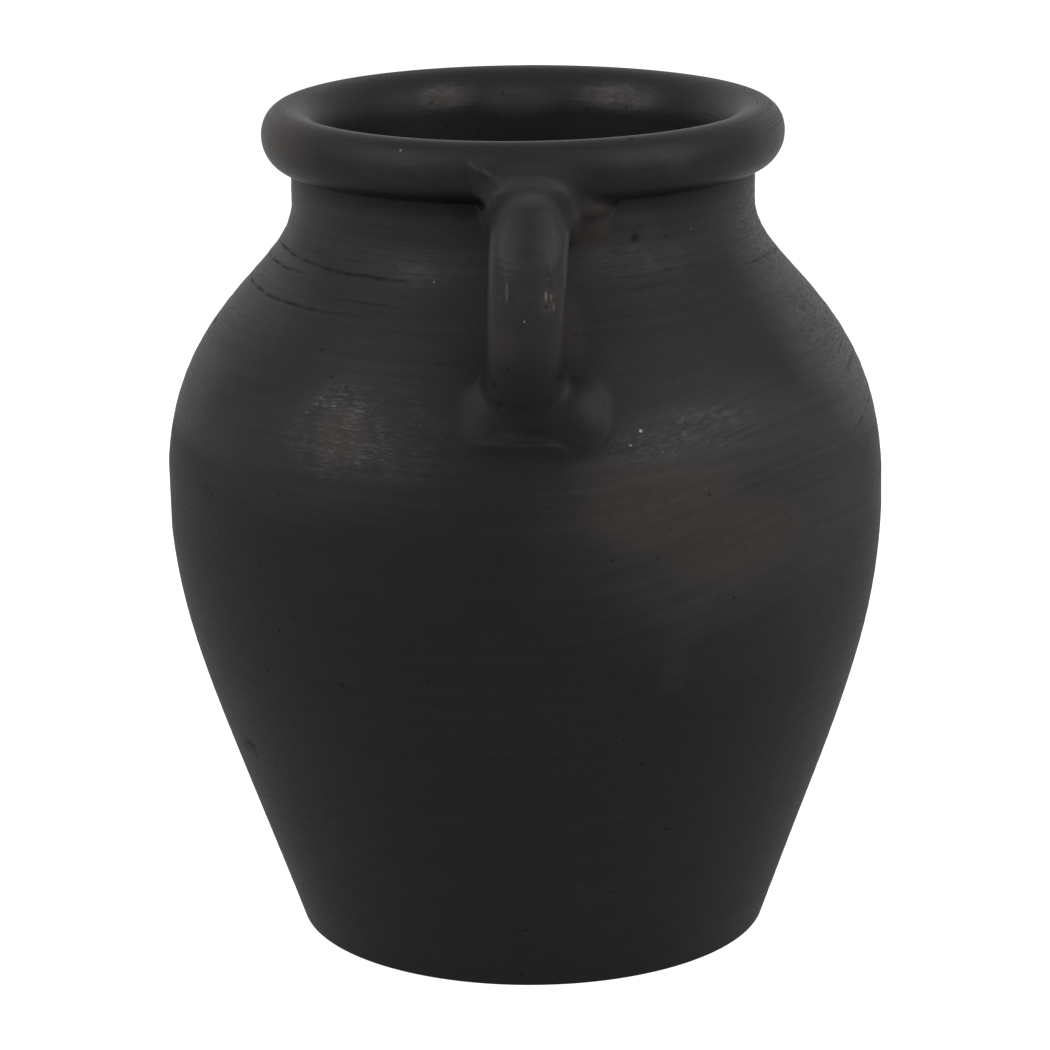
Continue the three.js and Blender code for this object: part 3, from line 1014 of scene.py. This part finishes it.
def keep_normals(piece):
    """Shades a cut piece with the normals that the whole had, so that no seam shows."""
    mesh = piece.data
    whole = np.zeros(len(mesh.vertices) * 3, np.float32)
    mesh.attributes["whole_normal"].data.foreach_get("vector", whole)
    whole = whole.reshape(-1, 3)
    caps = mesh.attributes["cap"].data
    normals = []
    for face in mesh.polygons:
        for corner in face.vertices:
            normals.append(face.normal if caps[face.index].value else whole[corner])
    mesh.normals_split_custom_set([tuple(n) for n in normals])
    mesh.attributes.remove(mesh.attributes["whole_normal"])
    mesh.attributes.remove(mesh.attributes["cap"])


# How far above the jar's face a smeared edge of clay still takes on the face's shading, and the step
# that finds how the face slopes
FEATHER = 2.4 * MM
FEATHER_STEP = 0.05 * MM


def feathered_normals(bm):
    """The clay's normals, turned into the jar's own where the clay thins out onto it."""
    bm.normal_update()
    points = corners_of(bm)
    jar = np.column_stack(
        [
            above_jar(points + FEATHER_STEP * axis) - above_jar(points - FEATHER_STEP * axis)
            for axis in np.eye(3)
        ]
    )
    jar /= np.maximum(np.linalg.norm(jar, axis=1), FEATHER_STEP)[:, None]
    share = smooth_step(0, FEATHER, above_jar(points))[:, None]
    mixed = jar + share * (np.array([v.normal for v in bm.verts]) - jar)
    return mixed / np.linalg.norm(mixed, axis=1)[:, None]


def whole_set(lean):
    """The worked clay of one handle, its collar and its pad, with edges where they will be cut."""
    stock = bmesh.new()
    handle_stock(stock, lean)
    collar_stock(stock, lean)
    pressed_lumps(stock, lean)
    jar_core(stock)
    bmesh.ops.recalc_face_normals(stock, faces=stock.faces)
    bm = worked_clay(stock)
    touched(bm, lean)
    trimmed(bm)
    cuts = (((0, 0, PAD_CUT), (0, 0, 1)), ((0, -COLLAR_CUT, 0), (0, 1, 0)))
    for place, normal in cuts:
        geom = [*bm.verts, *bm.edges, *bm.faces]
        bmesh.ops.bisect_plane(bm, geom=geom, dist=TINY, plane_co=place, plane_no=normal)
    return bm


def handle_set(side, turn, lean, handle_finish, luting_finish):
    """A handle with its collar and its pad, worked as one and then cut where they meet."""
    bm = whole_set(lean)
    spin_round = Matrix.Rotation(turn, 4, "Z")
    whole = bm.verts.layers.float_vector.new("whole_normal")
    for vert, normal in zip(bm.verts, feathered_normals(bm)):
        vert[whole] = spin_round @ Vector(normal)
    cells = [
        part_of_set(bm, lambda c: c.z > PAD_CUT and c.y < -COLLAR_CUT),
        part_of_set(bm, lambda c: c.z > PAD_CUT and c.y >= -COLLAR_CUT),
        part_of_set(bm, lambda c: c.z <= PAD_CUT),
    ]
    bm.free()
    kinds = [
        ("_handle_strap", handle_finish, "handle_clay", "_handle"),
        ("_collar_smear", luting_finish, "luting_clay", "_rim_collar"),
        ("_thumbed_pad", luting_finish, "luting_clay", "_shoulder_pad"),
    ]
    for cell, (name, finish, slot, node) in zip(cells, kinds):
        bmesh.ops.transform(cell, matrix=spin_round, verts=cell.verts)
        place_corners(cell, hand_thrown(corners_of(cell)))
        keep_normals(finished(side + name, cell, finish, slot, side + node))


class Value:
    """A socket of a node tree. Sums written with it add the Math nodes."""

    def __init__(self, tree, socket):
        self.tree = tree
        self.socket = socket

    def math(self, operation, *values):
        return add_math(self.tree, operation, self, *values)

    def __add__(self, other):
        return self.math("ADD", other)

    __radd__ = __add__

    def __sub__(self, other):
        return self.math("SUBTRACT", other)

    def __rsub__(self, other):
        return add_math(self.tree, "SUBTRACT", other, self)

    def __mul__(self, other):
        return self.math("MULTIPLY", other)

    __rmul__ = __mul__

    def __truediv__(self, other):
        return self.math("DIVIDE", other)

    def __pow__(self, other):
        return self.math("POWER", other)


def add_node(tree, kind, sockets, output=0, **settings):
    """A node with its sockets' values or links and its settings, as one of its outputs."""
    node = tree.nodes.new("ShaderNode" + kind)
    for name, setting in settings.items():
        setattr(node, name, setting)
    for socket, value in sockets.items():
        if isinstance(value, Value):
            tree.links.new(value.socket, node.inputs[socket])
        else:
            node.inputs[socket].default_value = value
    return Value(tree, node.outputs[output])


def add_math(tree, operation, *values):
    """A Math node between values, of which one or more are sockets."""
    return add_node(tree, "Math", dict(enumerate(values)), operation=operation)


# How much the radius counts in the run up a face, and how far from its middle a patch starts to
# fade and is gone, as shares of its half sizes
RUN_SLOPE = 0.6
PATCH_FADE = (0.45, 1.1)


class Surface:
    """The places on a piece and the marks on it, as sockets of one material."""

    def __init__(self, tree):
        self.tree = tree
        self.place = add_node(tree, "TexCoord", {}, "Object")
        split = {"Vector": self.place}
        self.x, self.y, self.z = (add_node(tree, "SeparateXYZ", split, axis) for axis in "XYZ")
        self.radius = (self.x * self.x + self.y * self.y) ** 0.5
        self.run = self.z - self.radius * RUN_SLOPE
        self.degrees = self.x.math("ARCTAN2", 0 - self.y) * math.degrees(1)

    def noise(self, vector, scale, detail, roughness):
        """Soft random values about a half."""
        sockets = {"Vector": vector, "Scale": scale, "Detail": detail, "Roughness": roughness}
        return add_node(self.tree, "TexNoise", sockets, "Fac")

    def drawn_round(self, climb, across, along, shift, detail, roughness):
        """Random values stretched round the jar, for marks that the wheel draws out. Climb is how
        far the marks have risen there."""
        sockets = {
            "X": self.x * across + shift,
            "Y": self.y * across,
            "Z": (self.run - climb) * along,
        }
        places = add_node(self.tree, "CombineXYZ", sockets, "Vector")
        return self.noise(places, 1, detail, roughness)

    def between(self, value, low, high, start=0.0, end=1.0):
        """A smooth step from start to end as the value goes from low to high."""
        sockets = {
            "Value": value,
            "From Min": low,
            "From Max": high,
            "To Min": start,
            "To Max": end,
        }
        smooth = {"interpolation_type": "SMOOTHSTEP"}
        return add_node(self.tree, "MapRange", sockets, "Result", **smooth)

    def patch(self, turn, height, half_turn, half_height, ragged=0.0):
        """1 at a place given in degrees and millimetres, falling to 0 at its half sizes."""
        aside = (self.degrees - turn).math("WRAP", 180, -180) / half_turn
        above = (self.z - height * MM) / (half_height * MM)
        away = (aside * aside + above * above) ** 0.5
        return self.between(away + ragged, *PATCH_FADE, 1.0, 0.0)

    def patches(self, places, ragged=0.0):
        """The strongest of several patches, each a place, half sizes and a strength."""
        whole = self.z * 0
        for turn, height, half_turn, half_height, strength in places:
            one = self.patch(turn, height, half_turn, half_height, ragged) * strength
            whole = whole.math("MAXIMUM", one)
        return whole

    def blend(self, share, first, second):
        """A colour between two, by a share. The node's colours are its inputs 6 and 7, output 2."""
        return add_node(self.tree, "Mix", {0: share, 6: first, 7: second}, 2, data_type="RGBA")


# Clay colours, as they are in plain light, though the scuff, dry, dust and soot colours also paint
# highlights, sheen, glints and shade where the patches below say so
CHARCOAL = (0.0084, 0.0084, 0.0093, 1)
HAZE = (0.0160, 0.0155, 0.0160, 1)
DRY_AND_SHEEN = (0.0450, 0.0430, 0.0430, 1)
SCUFF_AND_HIGHLIGHT = (0.0600, 0.0565, 0.0550, 1)
BROWN = (0.0390, 0.0270, 0.0245, 1)
# White dust, also used to paint glints on the strap
DUST_AND_GLINT = (0.3000, 0.2900, 0.2800, 1)
# Soot, also used to paint shade in the crease, the pocket, round the pad and in cut lines and dents
SOOT_AND_SHADE = (0.0026, 0.0024, 0.0026, 1)


def twins(turn, *rest):
    """A patch at the front and the same half a turn on, at the back."""
    return [(turn, *rest), (turn + 180, *rest)]


# Patches on the clay, each degrees round the jar and height, half sizes, strength. Satin is where it
# was burnished, and its paler colour is also a painted highlight of the softboxes; brown is where
# handling rubbed the black through; dry is where it is a paler grey, also painted sheen at the sides
# and a painted highlight on the arch's top; torn is where its grain opened; specks are grains of
# white dust, and on the strap also painted glints; soot is painted shade over the whole patch.
# Crease is how strongly painted shade darkens the crease under the roll.
# Painted highlight on the top of each handle's arch, where the light from above falls
ARCH_HIGHLIGHT = twins(1.5, 224.5, 13, 5.5, 0.4)
STRAP_DRY = twins(0, 206, 24, 36, 0.22)
# Painted shade round the thumbed pad under each handle's foot
PAD_SHADE = twins(-4, 167, 23, 20, 0.4)
# Where the crease's painted shade is left out, under the smeared clay
UNDER_SMEAR = twins(8, 217, 24, 60, 1.0)
NECK_BROWN = [(16, 210.5, 8, 10, 0.6)]
WALL_PLACES = {
    "satin_and_highlight": [
        # Burnished patches; those on the front shoulders are also painted highlights of the
        # softboxes
        (-31, 159.5, 12, 13, 1.0),
        (-25, 160, 17, 14, 0.4),
        (30, 161, 11, 7, 0.8),
        (21, 158, 9, 6, 0.6),
        (-26, 198, 14, 5, 0.4),
        (28, 201, 16, 6, 0.5),
        (118, 158, 16, 12, 0.8),
        (168, 162, 12, 11, 0.9),
        (-128, 156, 16, 12, 0.8),
        (200, 198, 20, 5, 0.4),
    ],
    "brown": [
        (14, 150, 9, 8, 0.25),
        (22, 142, 15, 14, 0.8),
        (34, 131, 15, 13, 0.8),
        (23, 98, 3, 10, 0.2),
        *NECK_BROWN,
        (9, 186, 4, 11, 0.5),
        (-24, 197, 5, 4, 0.3),
        (-31, 159, 6, 9, 0.6),
        (-70, 160, 10, 14, 0.35),
        (-84, 110, 8, 44, 0.3),
        (84, 112, 8, 44, 0.3),
        (128, 140, 18, 14, 0.7),
        (-150, 124, 20, 11, 0.7),
        (160, 186, 8, 8, 0.5),
    ],
    # Paler grey clay; the broad patch on the right and those at the side edges are also painted
    # sheen
    "dry_and_sheen": [
        (36, 138, 34, 38, 0.4),
        (34, 118, 34, 30, 0.12),
        (88, 180, 36, 42, 0.95),
        (92, 140, 22, 34, 0.6),
        (-84, 184, 38, 32, 0.4),
        (-44, 150, 30, 18, 0.16),
        (27, 208, 13, 8, 0.3),
        (0, 205, 400, 10, 0.16),
        (150, 130, 40, 40, 0.3),
        (-140, 140, 34, 36, 0.3),
    ],
    "torn": [
        (84, 200, 30, 20, 1.0),
        (86, 176, 28, 22, 1.0),
        (86, 158, 20, 14, 0.7),
        (-90, 182, 24, 24, 0.5),
        (-146, 196, 20, 10, 0.6),
    ],
    "specks_and_glints": [
        (18.6, 161.6, 0.32, 0.48, 0.8),
        (16.6, 158.4, 0.36, 0.32, 0.35),
        (44.0, 206.0, 0.3, 0.3, 0.2),
        (-20.5, 196.0, 0.28, 0.36, 0.3),
        (150.0, 166.0, 0.3, 0.4, 0.5),
    ],
    # Painted shade in the dark pocket left of the handle under the roll, and round the pad
    "soot_and_shade": [(-14.5, 216.0, 5, 5, 0.8), *PAD_SHADE],
    "crease": 0.5,
}
RIM_PLACES = {
    "satin_and_highlight": [
        # The first two, at the back of the mouth, are also painted reflections of the softboxes
        (-156, 227, 13, 5, 0.9),
        (149, 227, 17, 5, 0.9),
        (-28, 226, 10, 5, 0.3),
        (30, 227, 14, 4, 0.4),
        (100, 224, 12, 6, 0.4),
    ],
    "brown": [
        (-156, 226, 11, 4, 0.7),
        (150, 226, 14, 4, 0.6),
        (-68, 228, 22, 9, 0.6),
        (68, 229, 10, 5, 0.4),
        (110, 228, 14, 6, 0.4),
        *NECK_BROWN,
    ],
    # Paler grey at the roll's side edges, also painted sheen, with the arch's painted highlight
    "dry_and_sheen": [*ARCH_HIGHLIGHT, (-80, 229, 30, 10, 0.25), (78, 229, 26, 10, 0.18)],
    "specks_and_glints": [(-26.9, 230.6, 0.28, 0.35, 0.35)],
    # Painted shade in the dark pocket left of the handle under the roll
    "soot_and_shade": [(-14.5, 218.5, 6, 4, 0.7)],
    "crease": 0.5,
}
STRAP_PLACES = {
    "satin_and_highlight": twins(0, 204, 30, 14, 0.2),
    "brown": [(3.6, 197, 1.6, 4.0, 0.9), (-3, 186, 3, 6, 0.3), (184, 198, 3, 5, 0.6)],
    "dry_and_sheen": [*ARCH_HIGHLIGHT, *STRAP_DRY],
    "specks_and_glints": [
        # Pale strokes on the strap's right and a streak on its left, also painted glints; then a
        # white speck
        (3.2, 198.9, 0.26, 1.6, 0.20),
        (4.0, 198.4, 0.22, 1.1, 0.14),
        (4.4, 195.9, 0.22, 1.3, 0.12),
        (-2.7, 200.0, 0.3, 3.4, 0.08),
        (-0.1, 192.6, 0.22, 0.4, 0.25),
    ],
    "soot_and_shade": PAD_SHADE,
}
SMEAR_PLACES = {
    "satin_and_highlight": twins(10, 170, 6, 8, 0.15),
    "brown": [*NECK_BROWN, (-9, 166, 4, 9, 0.1)],
    "dry_and_sheen": [*ARCH_HIGHLIGHT, *STRAP_DRY],
    "soot_and_shade": PAD_SHADE,
}

# The clay's random marks: so many to the metre, finer layers, and how strong those are
CLOUDS = (18, 4, 0.55)
MOTTLES = (130, 3, 0.6)
GRAINS = (1300, 2, 0.6)
FLECKS = (1300, 1, 0.5)
PITS = (420, 2, 0.5)

# Marks that the wheel drew out: so many to the metre round and up, a shift that makes each its own,
# finer layers, and how strong those are
BRUSHED = (15, 620, 0.0, 4, 0.6)
SCRATCHED = (380, 2400, 4.0, 3, 0.65)
TORN_GRAIN = (230, 1300, 9.0, 4, 0.7)

# The values at which a random mark starts to show and shows in full
CLOUD_SHOWS = (0.45, 0.72)
MOTTLE_SHOWS = (0.38, 0.62)
STREAK_SHOWS = (0.46, 0.62)
TEAR_SHOWS = (0.47, 0.63)
PIT_SHOWS = (0.72, 0.78)
FLECK_SHOWS = (0.70, 0.78)

# What a streak is made of, and how much of a burnished patch, painted paler as a highlight, is left
# between mottles
STREAK_OF = {"scratch": 0.7, "brush": 0.15, "mottle": 0.15}
BURNISHED_AND_HIGHLIGHT_LEAST = 0.35

# Heights between which the upper part starts to look paler, a painted sheen of the softboxes, and
# smoother, and how far the clouds move them
UPPER_SHEEN_HEIGHTS = (144.5 * MM, 152.5 * MM)
UPPER_SHEEN_BY_CLOUD = 12 * MM

# The crease under the roll, where shade is painted: its height, where its painted shade is full and
# where it ends to either side, and the radii over which it starts, so that none lies inside the
# mouth
CREASE = ROLL_UNDERSIDE
CREASE_BAND = (1 * MM, 7 * MM)
CREASE_RADII = (60 * MM, 62.5 * MM)

# How far the scratches climb on the right, the degrees over which they rise and come down again, and
# the heights over which that ends
CLIMB = 13 * MM
CLIMB_RISES = (4, 52)
CLIMB_FALLS = (62, 172)
CLIMB_ENDS = (168 * MM, 212 * MM)

# How far marks fray a ragged edge and bend a soft one
IN_RAGGED = {"cloud": 1.2, "mottle": 0.7}
IN_SOFT = {"cloud": 0.8}

# How strongly marks show in the haze over the charcoal, the upper part's painted sheen among them,
# everywhere and where the grain is torn
IN_HAZE = {"upper_sheen": 0.14, "clouded": 0.22, "brush": 0.8, "grain": 0.9, "mottle": 0.4}
HAZE_EVERYWHERE = 0.06
HAZE_TORN = 1.6
HAZE_TORN_LEAST = -0.1

# How strongly the worn places show: dry ones, in places painted sheen, and the brush in them, brown
# ones and the least of them between streaks, burnished ones, painted paler as highlights, and the
# pale flecks in them
DRY_AND_SHEEN_SHARE = 0.7
DRY_AND_SHEEN_BRUSH = {"brush": 1.2}
BROWN_SHARE = 0.75
BROWN_LEAST = 0.6
SCUFF_AND_HIGHLIGHT_SHARE = 0.6
FLECK_SHARE = 0.5

# How much soot lies in pits and in torn grain, and how much soot and painted shade in what was
# pressed or cut in
PIT_SOOT = 0.8
PRESSED_SOOT_AND_SHADE = 0.9
TORN_SOOT = 0.4

# How strongly marks show in the roughness, and in the height of the face
IN_ROUGHNESS = {"cloud": 0.16, "scratch": 0.25, "burnished_and_highlight": -0.16, "upper_sheen": -0.12, "soot_and_shade": 0.3}
SMOOTHER = 0.05
IN_HEIGHT = {"brush": 0.5, "scratch": 0.2, "grain": 0.16, "mottle": 0.12, "torn": -0.4}

# The clay's own gloss: how rough it is before marks, and how strongly it mirrors
ROUGHNESS = 0.60
GLOSS = 0.08
BUMP_STRENGTH = 0.4
BUMP_DISTANCE = 0.5 * MM


class Clay(Surface):
    """A surface of black-fired clay: its random marks, where it is worn, torn or sooty, and where
    highlights, sheen and shade are painted on it.
    Streaks is how strongly the wheel marked it, and places are its patches by kind."""

    def __init__(self, tree, streaks, places):
        super().__init__(tree)
        self.places = places
        climb = self.scratch_climb()
        cloud = self.noise(self.place, *CLOUDS)
        mottle = self.noise(self.place, *MOTTLES)
        grain = self.noise(self.place, *GRAINS)
        brush = self.drawn_round(climb, *BRUSHED)
        self.scratch = self.drawn_round(climb, *SCRATCHED)
        self.marks = {
            "cloud": cloud - 0.5,
            "mottle": mottle - 0.5,
            "grain": grain - 0.5,
            "brush": (brush - 0.5) * streaks,
            "scratch": (self.scratch - 0.5) * streaks,
            "clouded": self.between(cloud, *CLOUD_SHOWS),
            # Paler above the belly line as a painted sheen of the softboxes, and smoother there
            "upper_sheen": self.between(self.z + (cloud - 0.5) * UPPER_SHEEN_BY_CLOUD, *UPPER_SHEEN_HEIGHTS),
        }
        self.softly = self.weighed(IN_SOFT)
        ragged = self.weighed(IN_RAGGED)
        drawn = self.scratch * STREAK_OF["scratch"] + brush * STREAK_OF["brush"]
        self.streak = self.between(drawn + mottle * STREAK_OF["mottle"], *STREAK_SHOWS)
        streaky = self.streak * streaks + (1 - streaks)
        uneven = self.between(mottle, *MOTTLE_SHOWS, BURNISHED_AND_HIGHLIGHT_LEAST, 1.0)
        # Burnished patches: smoother, and painted paler as highlights where the softboxes reflect
        self.marks["burnished_and_highlight"] = self.worn("satin_and_highlight", ragged) * streaky * uneven
        self.opened = self.worn("torn", ragged)
        tear = self.drawn_round(0.0, *TORN_GRAIN)
        self.marks["torn"] = self.opened * self.between(tear, *TEAR_SHOWS)
        self.marks["soot_and_shade"] = self.hollow_soot_and_shade()

    def weighed(self, weights):
        """The marks named, each times its weight, added up."""
        return sum(self.marks[name] * weight for name, weight in weights.items())

    def worn(self, kind, edge=0.0):
        """Where one kind of patch lies, with its edge moved by a value."""
        return self.patches(self.places.get(kind, []), edge)

    def scratch_climb(self):
        """How far marks have risen: they climb over the right shoulder and nowhere else."""
        risen = self.between(self.degrees, *CLIMB_RISES)
        risen = risen * self.between(self.degrees, *CLIMB_FALLS, 1.0, 0.0)
        return risen * self.between(self.z, *CLIMB_ENDS, 1.0, 0.0) * CLIMB

    def hollow_soot_and_shade(self):
        """Soot in the pits and in torn grain, and soot with painted shade in what was pressed or cut
        in.
        """
        pits = self.between(self.noise(self.place, *PITS), *PIT_SHOWS) * PIT_SOOT
        pressed = add_node(self.tree, "Attribute", {}, "Fac", attribute_name="soot_and_shade")
        pressed = pressed * PRESSED_SOOT_AND_SHADE
        return pits.math("MAXIMUM", pressed).math("MAXIMUM", self.marks["torn"] * TORN_SOOT)

    def painted_crease_shade(self):
        """Painted shade in the crease under the roll, but not where it is smeared over, and in the
        patches of painted shade.
        """
        beside = (self.z - CREASE).math("ABSOLUTE")
        crease = self.between(beside, *CREASE_BAND, self.places.get("crease", 0.0), 0.0)
        crease = crease * self.between(self.radius, *CREASE_RADII)
        crease = crease * (1 - self.patches(UNDER_SMEAR))
        return crease.math("MAXIMUM", self.worn("soot_and_shade"))

    def colour(self):
        """Charcoal and haze with the upper part's painted sheen, then dry places with painted sheen,
        brown places, burnished places painted paler as highlights, soot with painted shade, and dust
        with painted glints on top.
        """
        torn = self.opened * (self.scratch * HAZE_TORN + HAZE_TORN_LEAST)
        haze = self.weighed(IN_HAZE) + torn + HAZE_EVERYWHERE
        haze = haze.math("MAXIMUM", 0.0).math("MINIMUM", 1.0)
        colour = self.blend(haze, CHARCOAL, HAZE)
        dry_and_sheen = self.worn("dry_and_sheen", self.softly) * (DRY_AND_SHEEN_SHARE + self.weighed(DRY_AND_SHEEN_BRUSH))
        colour = self.blend(dry_and_sheen, colour, DRY_AND_SHEEN)
        brown = self.worn("brown", self.softly) * BROWN_SHARE
        brown = brown * (self.streak * (1 - BROWN_LEAST) + BROWN_LEAST)
        colour = self.blend(brown, colour, BROWN)
        burnished_and_highlight = self.marks["burnished_and_highlight"]
        colour = self.blend(burnished_and_highlight * SCUFF_AND_HIGHLIGHT_SHARE, colour, SCUFF_AND_HIGHLIGHT)
        soot_and_shade = self.marks["soot_and_shade"].math("MAXIMUM", self.painted_crease_shade())
        colour = self.blend(soot_and_shade, colour, SOOT_AND_SHADE)
        flecks = self.between(self.noise(self.place, *FLECKS), *FLECK_SHOWS) * burnished_and_highlight
        dust_and_glints = self.worn("specks_and_glints").math("MAXIMUM", flecks * FLECK_SHARE)
        return self.blend(dust_and_glints, colour, DUST_AND_GLINT)

    def roughness(self, smooth):
        """How rough the clay is, less where it is smooth, handled or burnished."""
        return self.weighed(IN_ROUGHNESS) + (ROUGHNESS - SMOOTHER * smooth)

    def normal(self):
        """The face's normal with the fine marks' relief."""
        sockets = {
            "Height": self.weighed(IN_HEIGHT),
            "Strength": BUMP_STRENGTH,
            "Distance": BUMP_DISTANCE,
        }
        return add_node(self.tree, "Bump", sockets, "Normal")


def new_material(name):
    """A material with its node tree and its shader."""
    material = bpy.data.materials.new(name)
    material.use_nodes = True
    return material, material.node_tree, material.node_tree.nodes["Principled BSDF"]


def black_clay(name, streaks, smooth, places):
    """Black-fired clay. Smooth is how much smoother than the wall it is."""
    material, tree, shader = new_material(name)
    clay = Clay(tree, streaks, places)
    tree.links.new(clay.colour().socket, shader.inputs["Base Color"])
    tree.links.new(clay.roughness(smooth).socket, shader.inputs["Roughness"])
    tree.links.new(clay.normal().socket, shader.inputs["Normal"])
    shader.inputs["Specular IOR Level"].default_value = GLOSS
    return material


# The studio: where the jar is looked at from, the lens in millimetres, what lights the jar, and how
# bright the surroundings are on matt faces
CAMERA_ELEVATION = math.radians(15.38)
CAMERA_DISTANCE = 1081 * MM
CAMERA_AIM = Vector((-0.4 * MM, 0, 112.6 * MM))
CAMERA_ROLL = math.radians(-0.46)
CAMERA_NEAREST = 0.05
LENS = 131.1
SENSOR = 36
LAMP_AZIMUTH = math.radians(60)
LAMP_ELEVATION = math.radians(36)
LAMP_DISTANCE = 1.5
LAMP_SIZE = 1.3
LEFT_WATTS = 18.5
RIGHT_WATTS = 20
SKY_ON_MATT = 0.42

# The white paper on the floor: half its width, its colour, roughness and mirroring, how bright the
# camera sees it, and how bright it is in the jar's gloss
PAPER_HALF = 4
PAPER = (0.55, 0.55, 0.55, 1)
PAPER_ROUGHNESS = 0.9
PAPER_MIRRORS = 0.1
PAPER_GLOW = 0.75
PAPER_IN_GLOSS = 0.5
WHITE = (1, 1, 1, 1)


def camera():
    """The photograph's view: a long lens a little above the jar, in front of one handle."""
    data = bpy.data.cameras.new("camera")
    data.lens = LENS
    data.sensor_width = SENSOR
    data.clip_start = CAMERA_NEAREST
    view = in_scene("camera", data)
    back = Vector((0, -math.cos(CAMERA_ELEVATION), math.sin(CAMERA_ELEVATION)))
    tilt = Matrix.Rotation(math.pi / 2 - CAMERA_ELEVATION, 4, "X")
    roll = Matrix.Rotation(CAMERA_ROLL, 4, "Z")
    view.matrix_world = Matrix.Translation(CAMERA_AIM + CAMERA_DISTANCE * back) @ tilt @ roll
    bpy.context.scene.camera = view


def softbox(name, azimuth, watts):
    """A square soft light that faces the jar. Azimuth 0 is over the camera, + to the right."""
    data = bpy.data.lights.new(name, "AREA")
    data.shape = "SQUARE"
    data.size = LAMP_SIZE
    data.energy = watts
    lamp = in_scene(name, data)
    flat = math.cos(LAMP_ELEVATION)
    towards = Vector(
        (math.sin(azimuth) * flat, -math.cos(azimuth) * flat, math.sin(LAMP_ELEVATION))
    )
    aim = Vector((0, 0, HEIGHT / 2))
    lamp.location = aim + LAMP_DISTANCE * towards
    lamp.rotation_euler = towards.to_track_quat("Z", "Y").to_euler()


def ray_is(tree, kind):
    """1 for rays of one kind, else 0."""
    return add_node(tree, "LightPath", {}, f"Is {kind} Ray")


def seen_directly(tree):
    """1 for what the camera sees directly or in a mirror or glass, else 0."""
    mirrored = ray_is(tree, "Glossy").math("MAXIMUM", ray_is(tree, "Transmission"))
    return ray_is(tree, "Camera").math("MAXIMUM", mirrored)


def floor():
    """A wide pale floor that keeps the jar's soft shadow."""
    bm = bmesh.new()
    bmesh.ops.create_grid(bm, x_segments=1, y_segments=1, size=PAPER_HALF)
    mesh = mesh_from("floor", bm)
    ground = in_scene("floor", mesh)
    paper, tree, shader = new_material("white_paper")
    shader.inputs["Base Color"].default_value = PAPER
    shader.inputs["Roughness"].default_value = PAPER_ROUGHNESS
    shader.inputs["Specular IOR Level"].default_value = PAPER_MIRRORS
    shader.inputs["Emission Color"].default_value = WHITE
    glow = ray_is(tree, "Camera") * PAPER_GLOW + ray_is(tree, "Glossy") * PAPER_IN_GLOSS
    tree.links.new(glow.socket, shader.inputs["Emission Strength"])
    mesh.materials.append(paper)


def surroundings():
    """White where the camera or a gloss looks, and a plainer even light on matt faces."""
    world = bpy.data.worlds.new("studio")
    bpy.context.scene.world = world
    world.use_nodes = True
    tree = world.node_tree
    tree.nodes.clear()
    strength = seen_directly(tree).math("MAXIMUM", SKY_ON_MATT)
    sky = tree.nodes.new("ShaderNodeBackground")
    sky.inputs["Color"].default_value = WHITE
    tree.links.new(strength.socket, sky.inputs["Strength"])
    end = tree.nodes.new("ShaderNodeOutputWorld")
    tree.links.new(sky.outputs[0], end.inputs["Surface"])


def studio():
    """Camera, floor, surroundings and lights."""
    camera()
    floor()
    surroundings()
    softbox("softbox_left", -LAMP_AZIMUTH, LEFT_WATTS)
    softbox("softbox_right", LAMP_AZIMUTH, RIGHT_WATTS)
    bpy.context.scene.view_settings.view_transform = "Standard"


def vase():
    """Every piece of the jar."""
    jar_body(black_clay("black_clay_thrown", streaks=1.0, smooth=0, places=WALL_PLACES))
    rim(black_clay("black_clay_rolled", streaks=0.6, smooth=1, places=RIM_PLACES))
    pulled = black_clay("black_clay_pulled", streaks=0.15, smooth=2, places=STRAP_PLACES)
    thumbed = black_clay("black_clay_thumbed", streaks=0.25, smooth=1, places=SMEAR_PLACES)
    handle_set("front", 0, 1, pulled, thumbed)
    handle_set("back", math.pi, -1, pulled, thumbed)


studio()
vase()

bpy.context.view_layer.update()
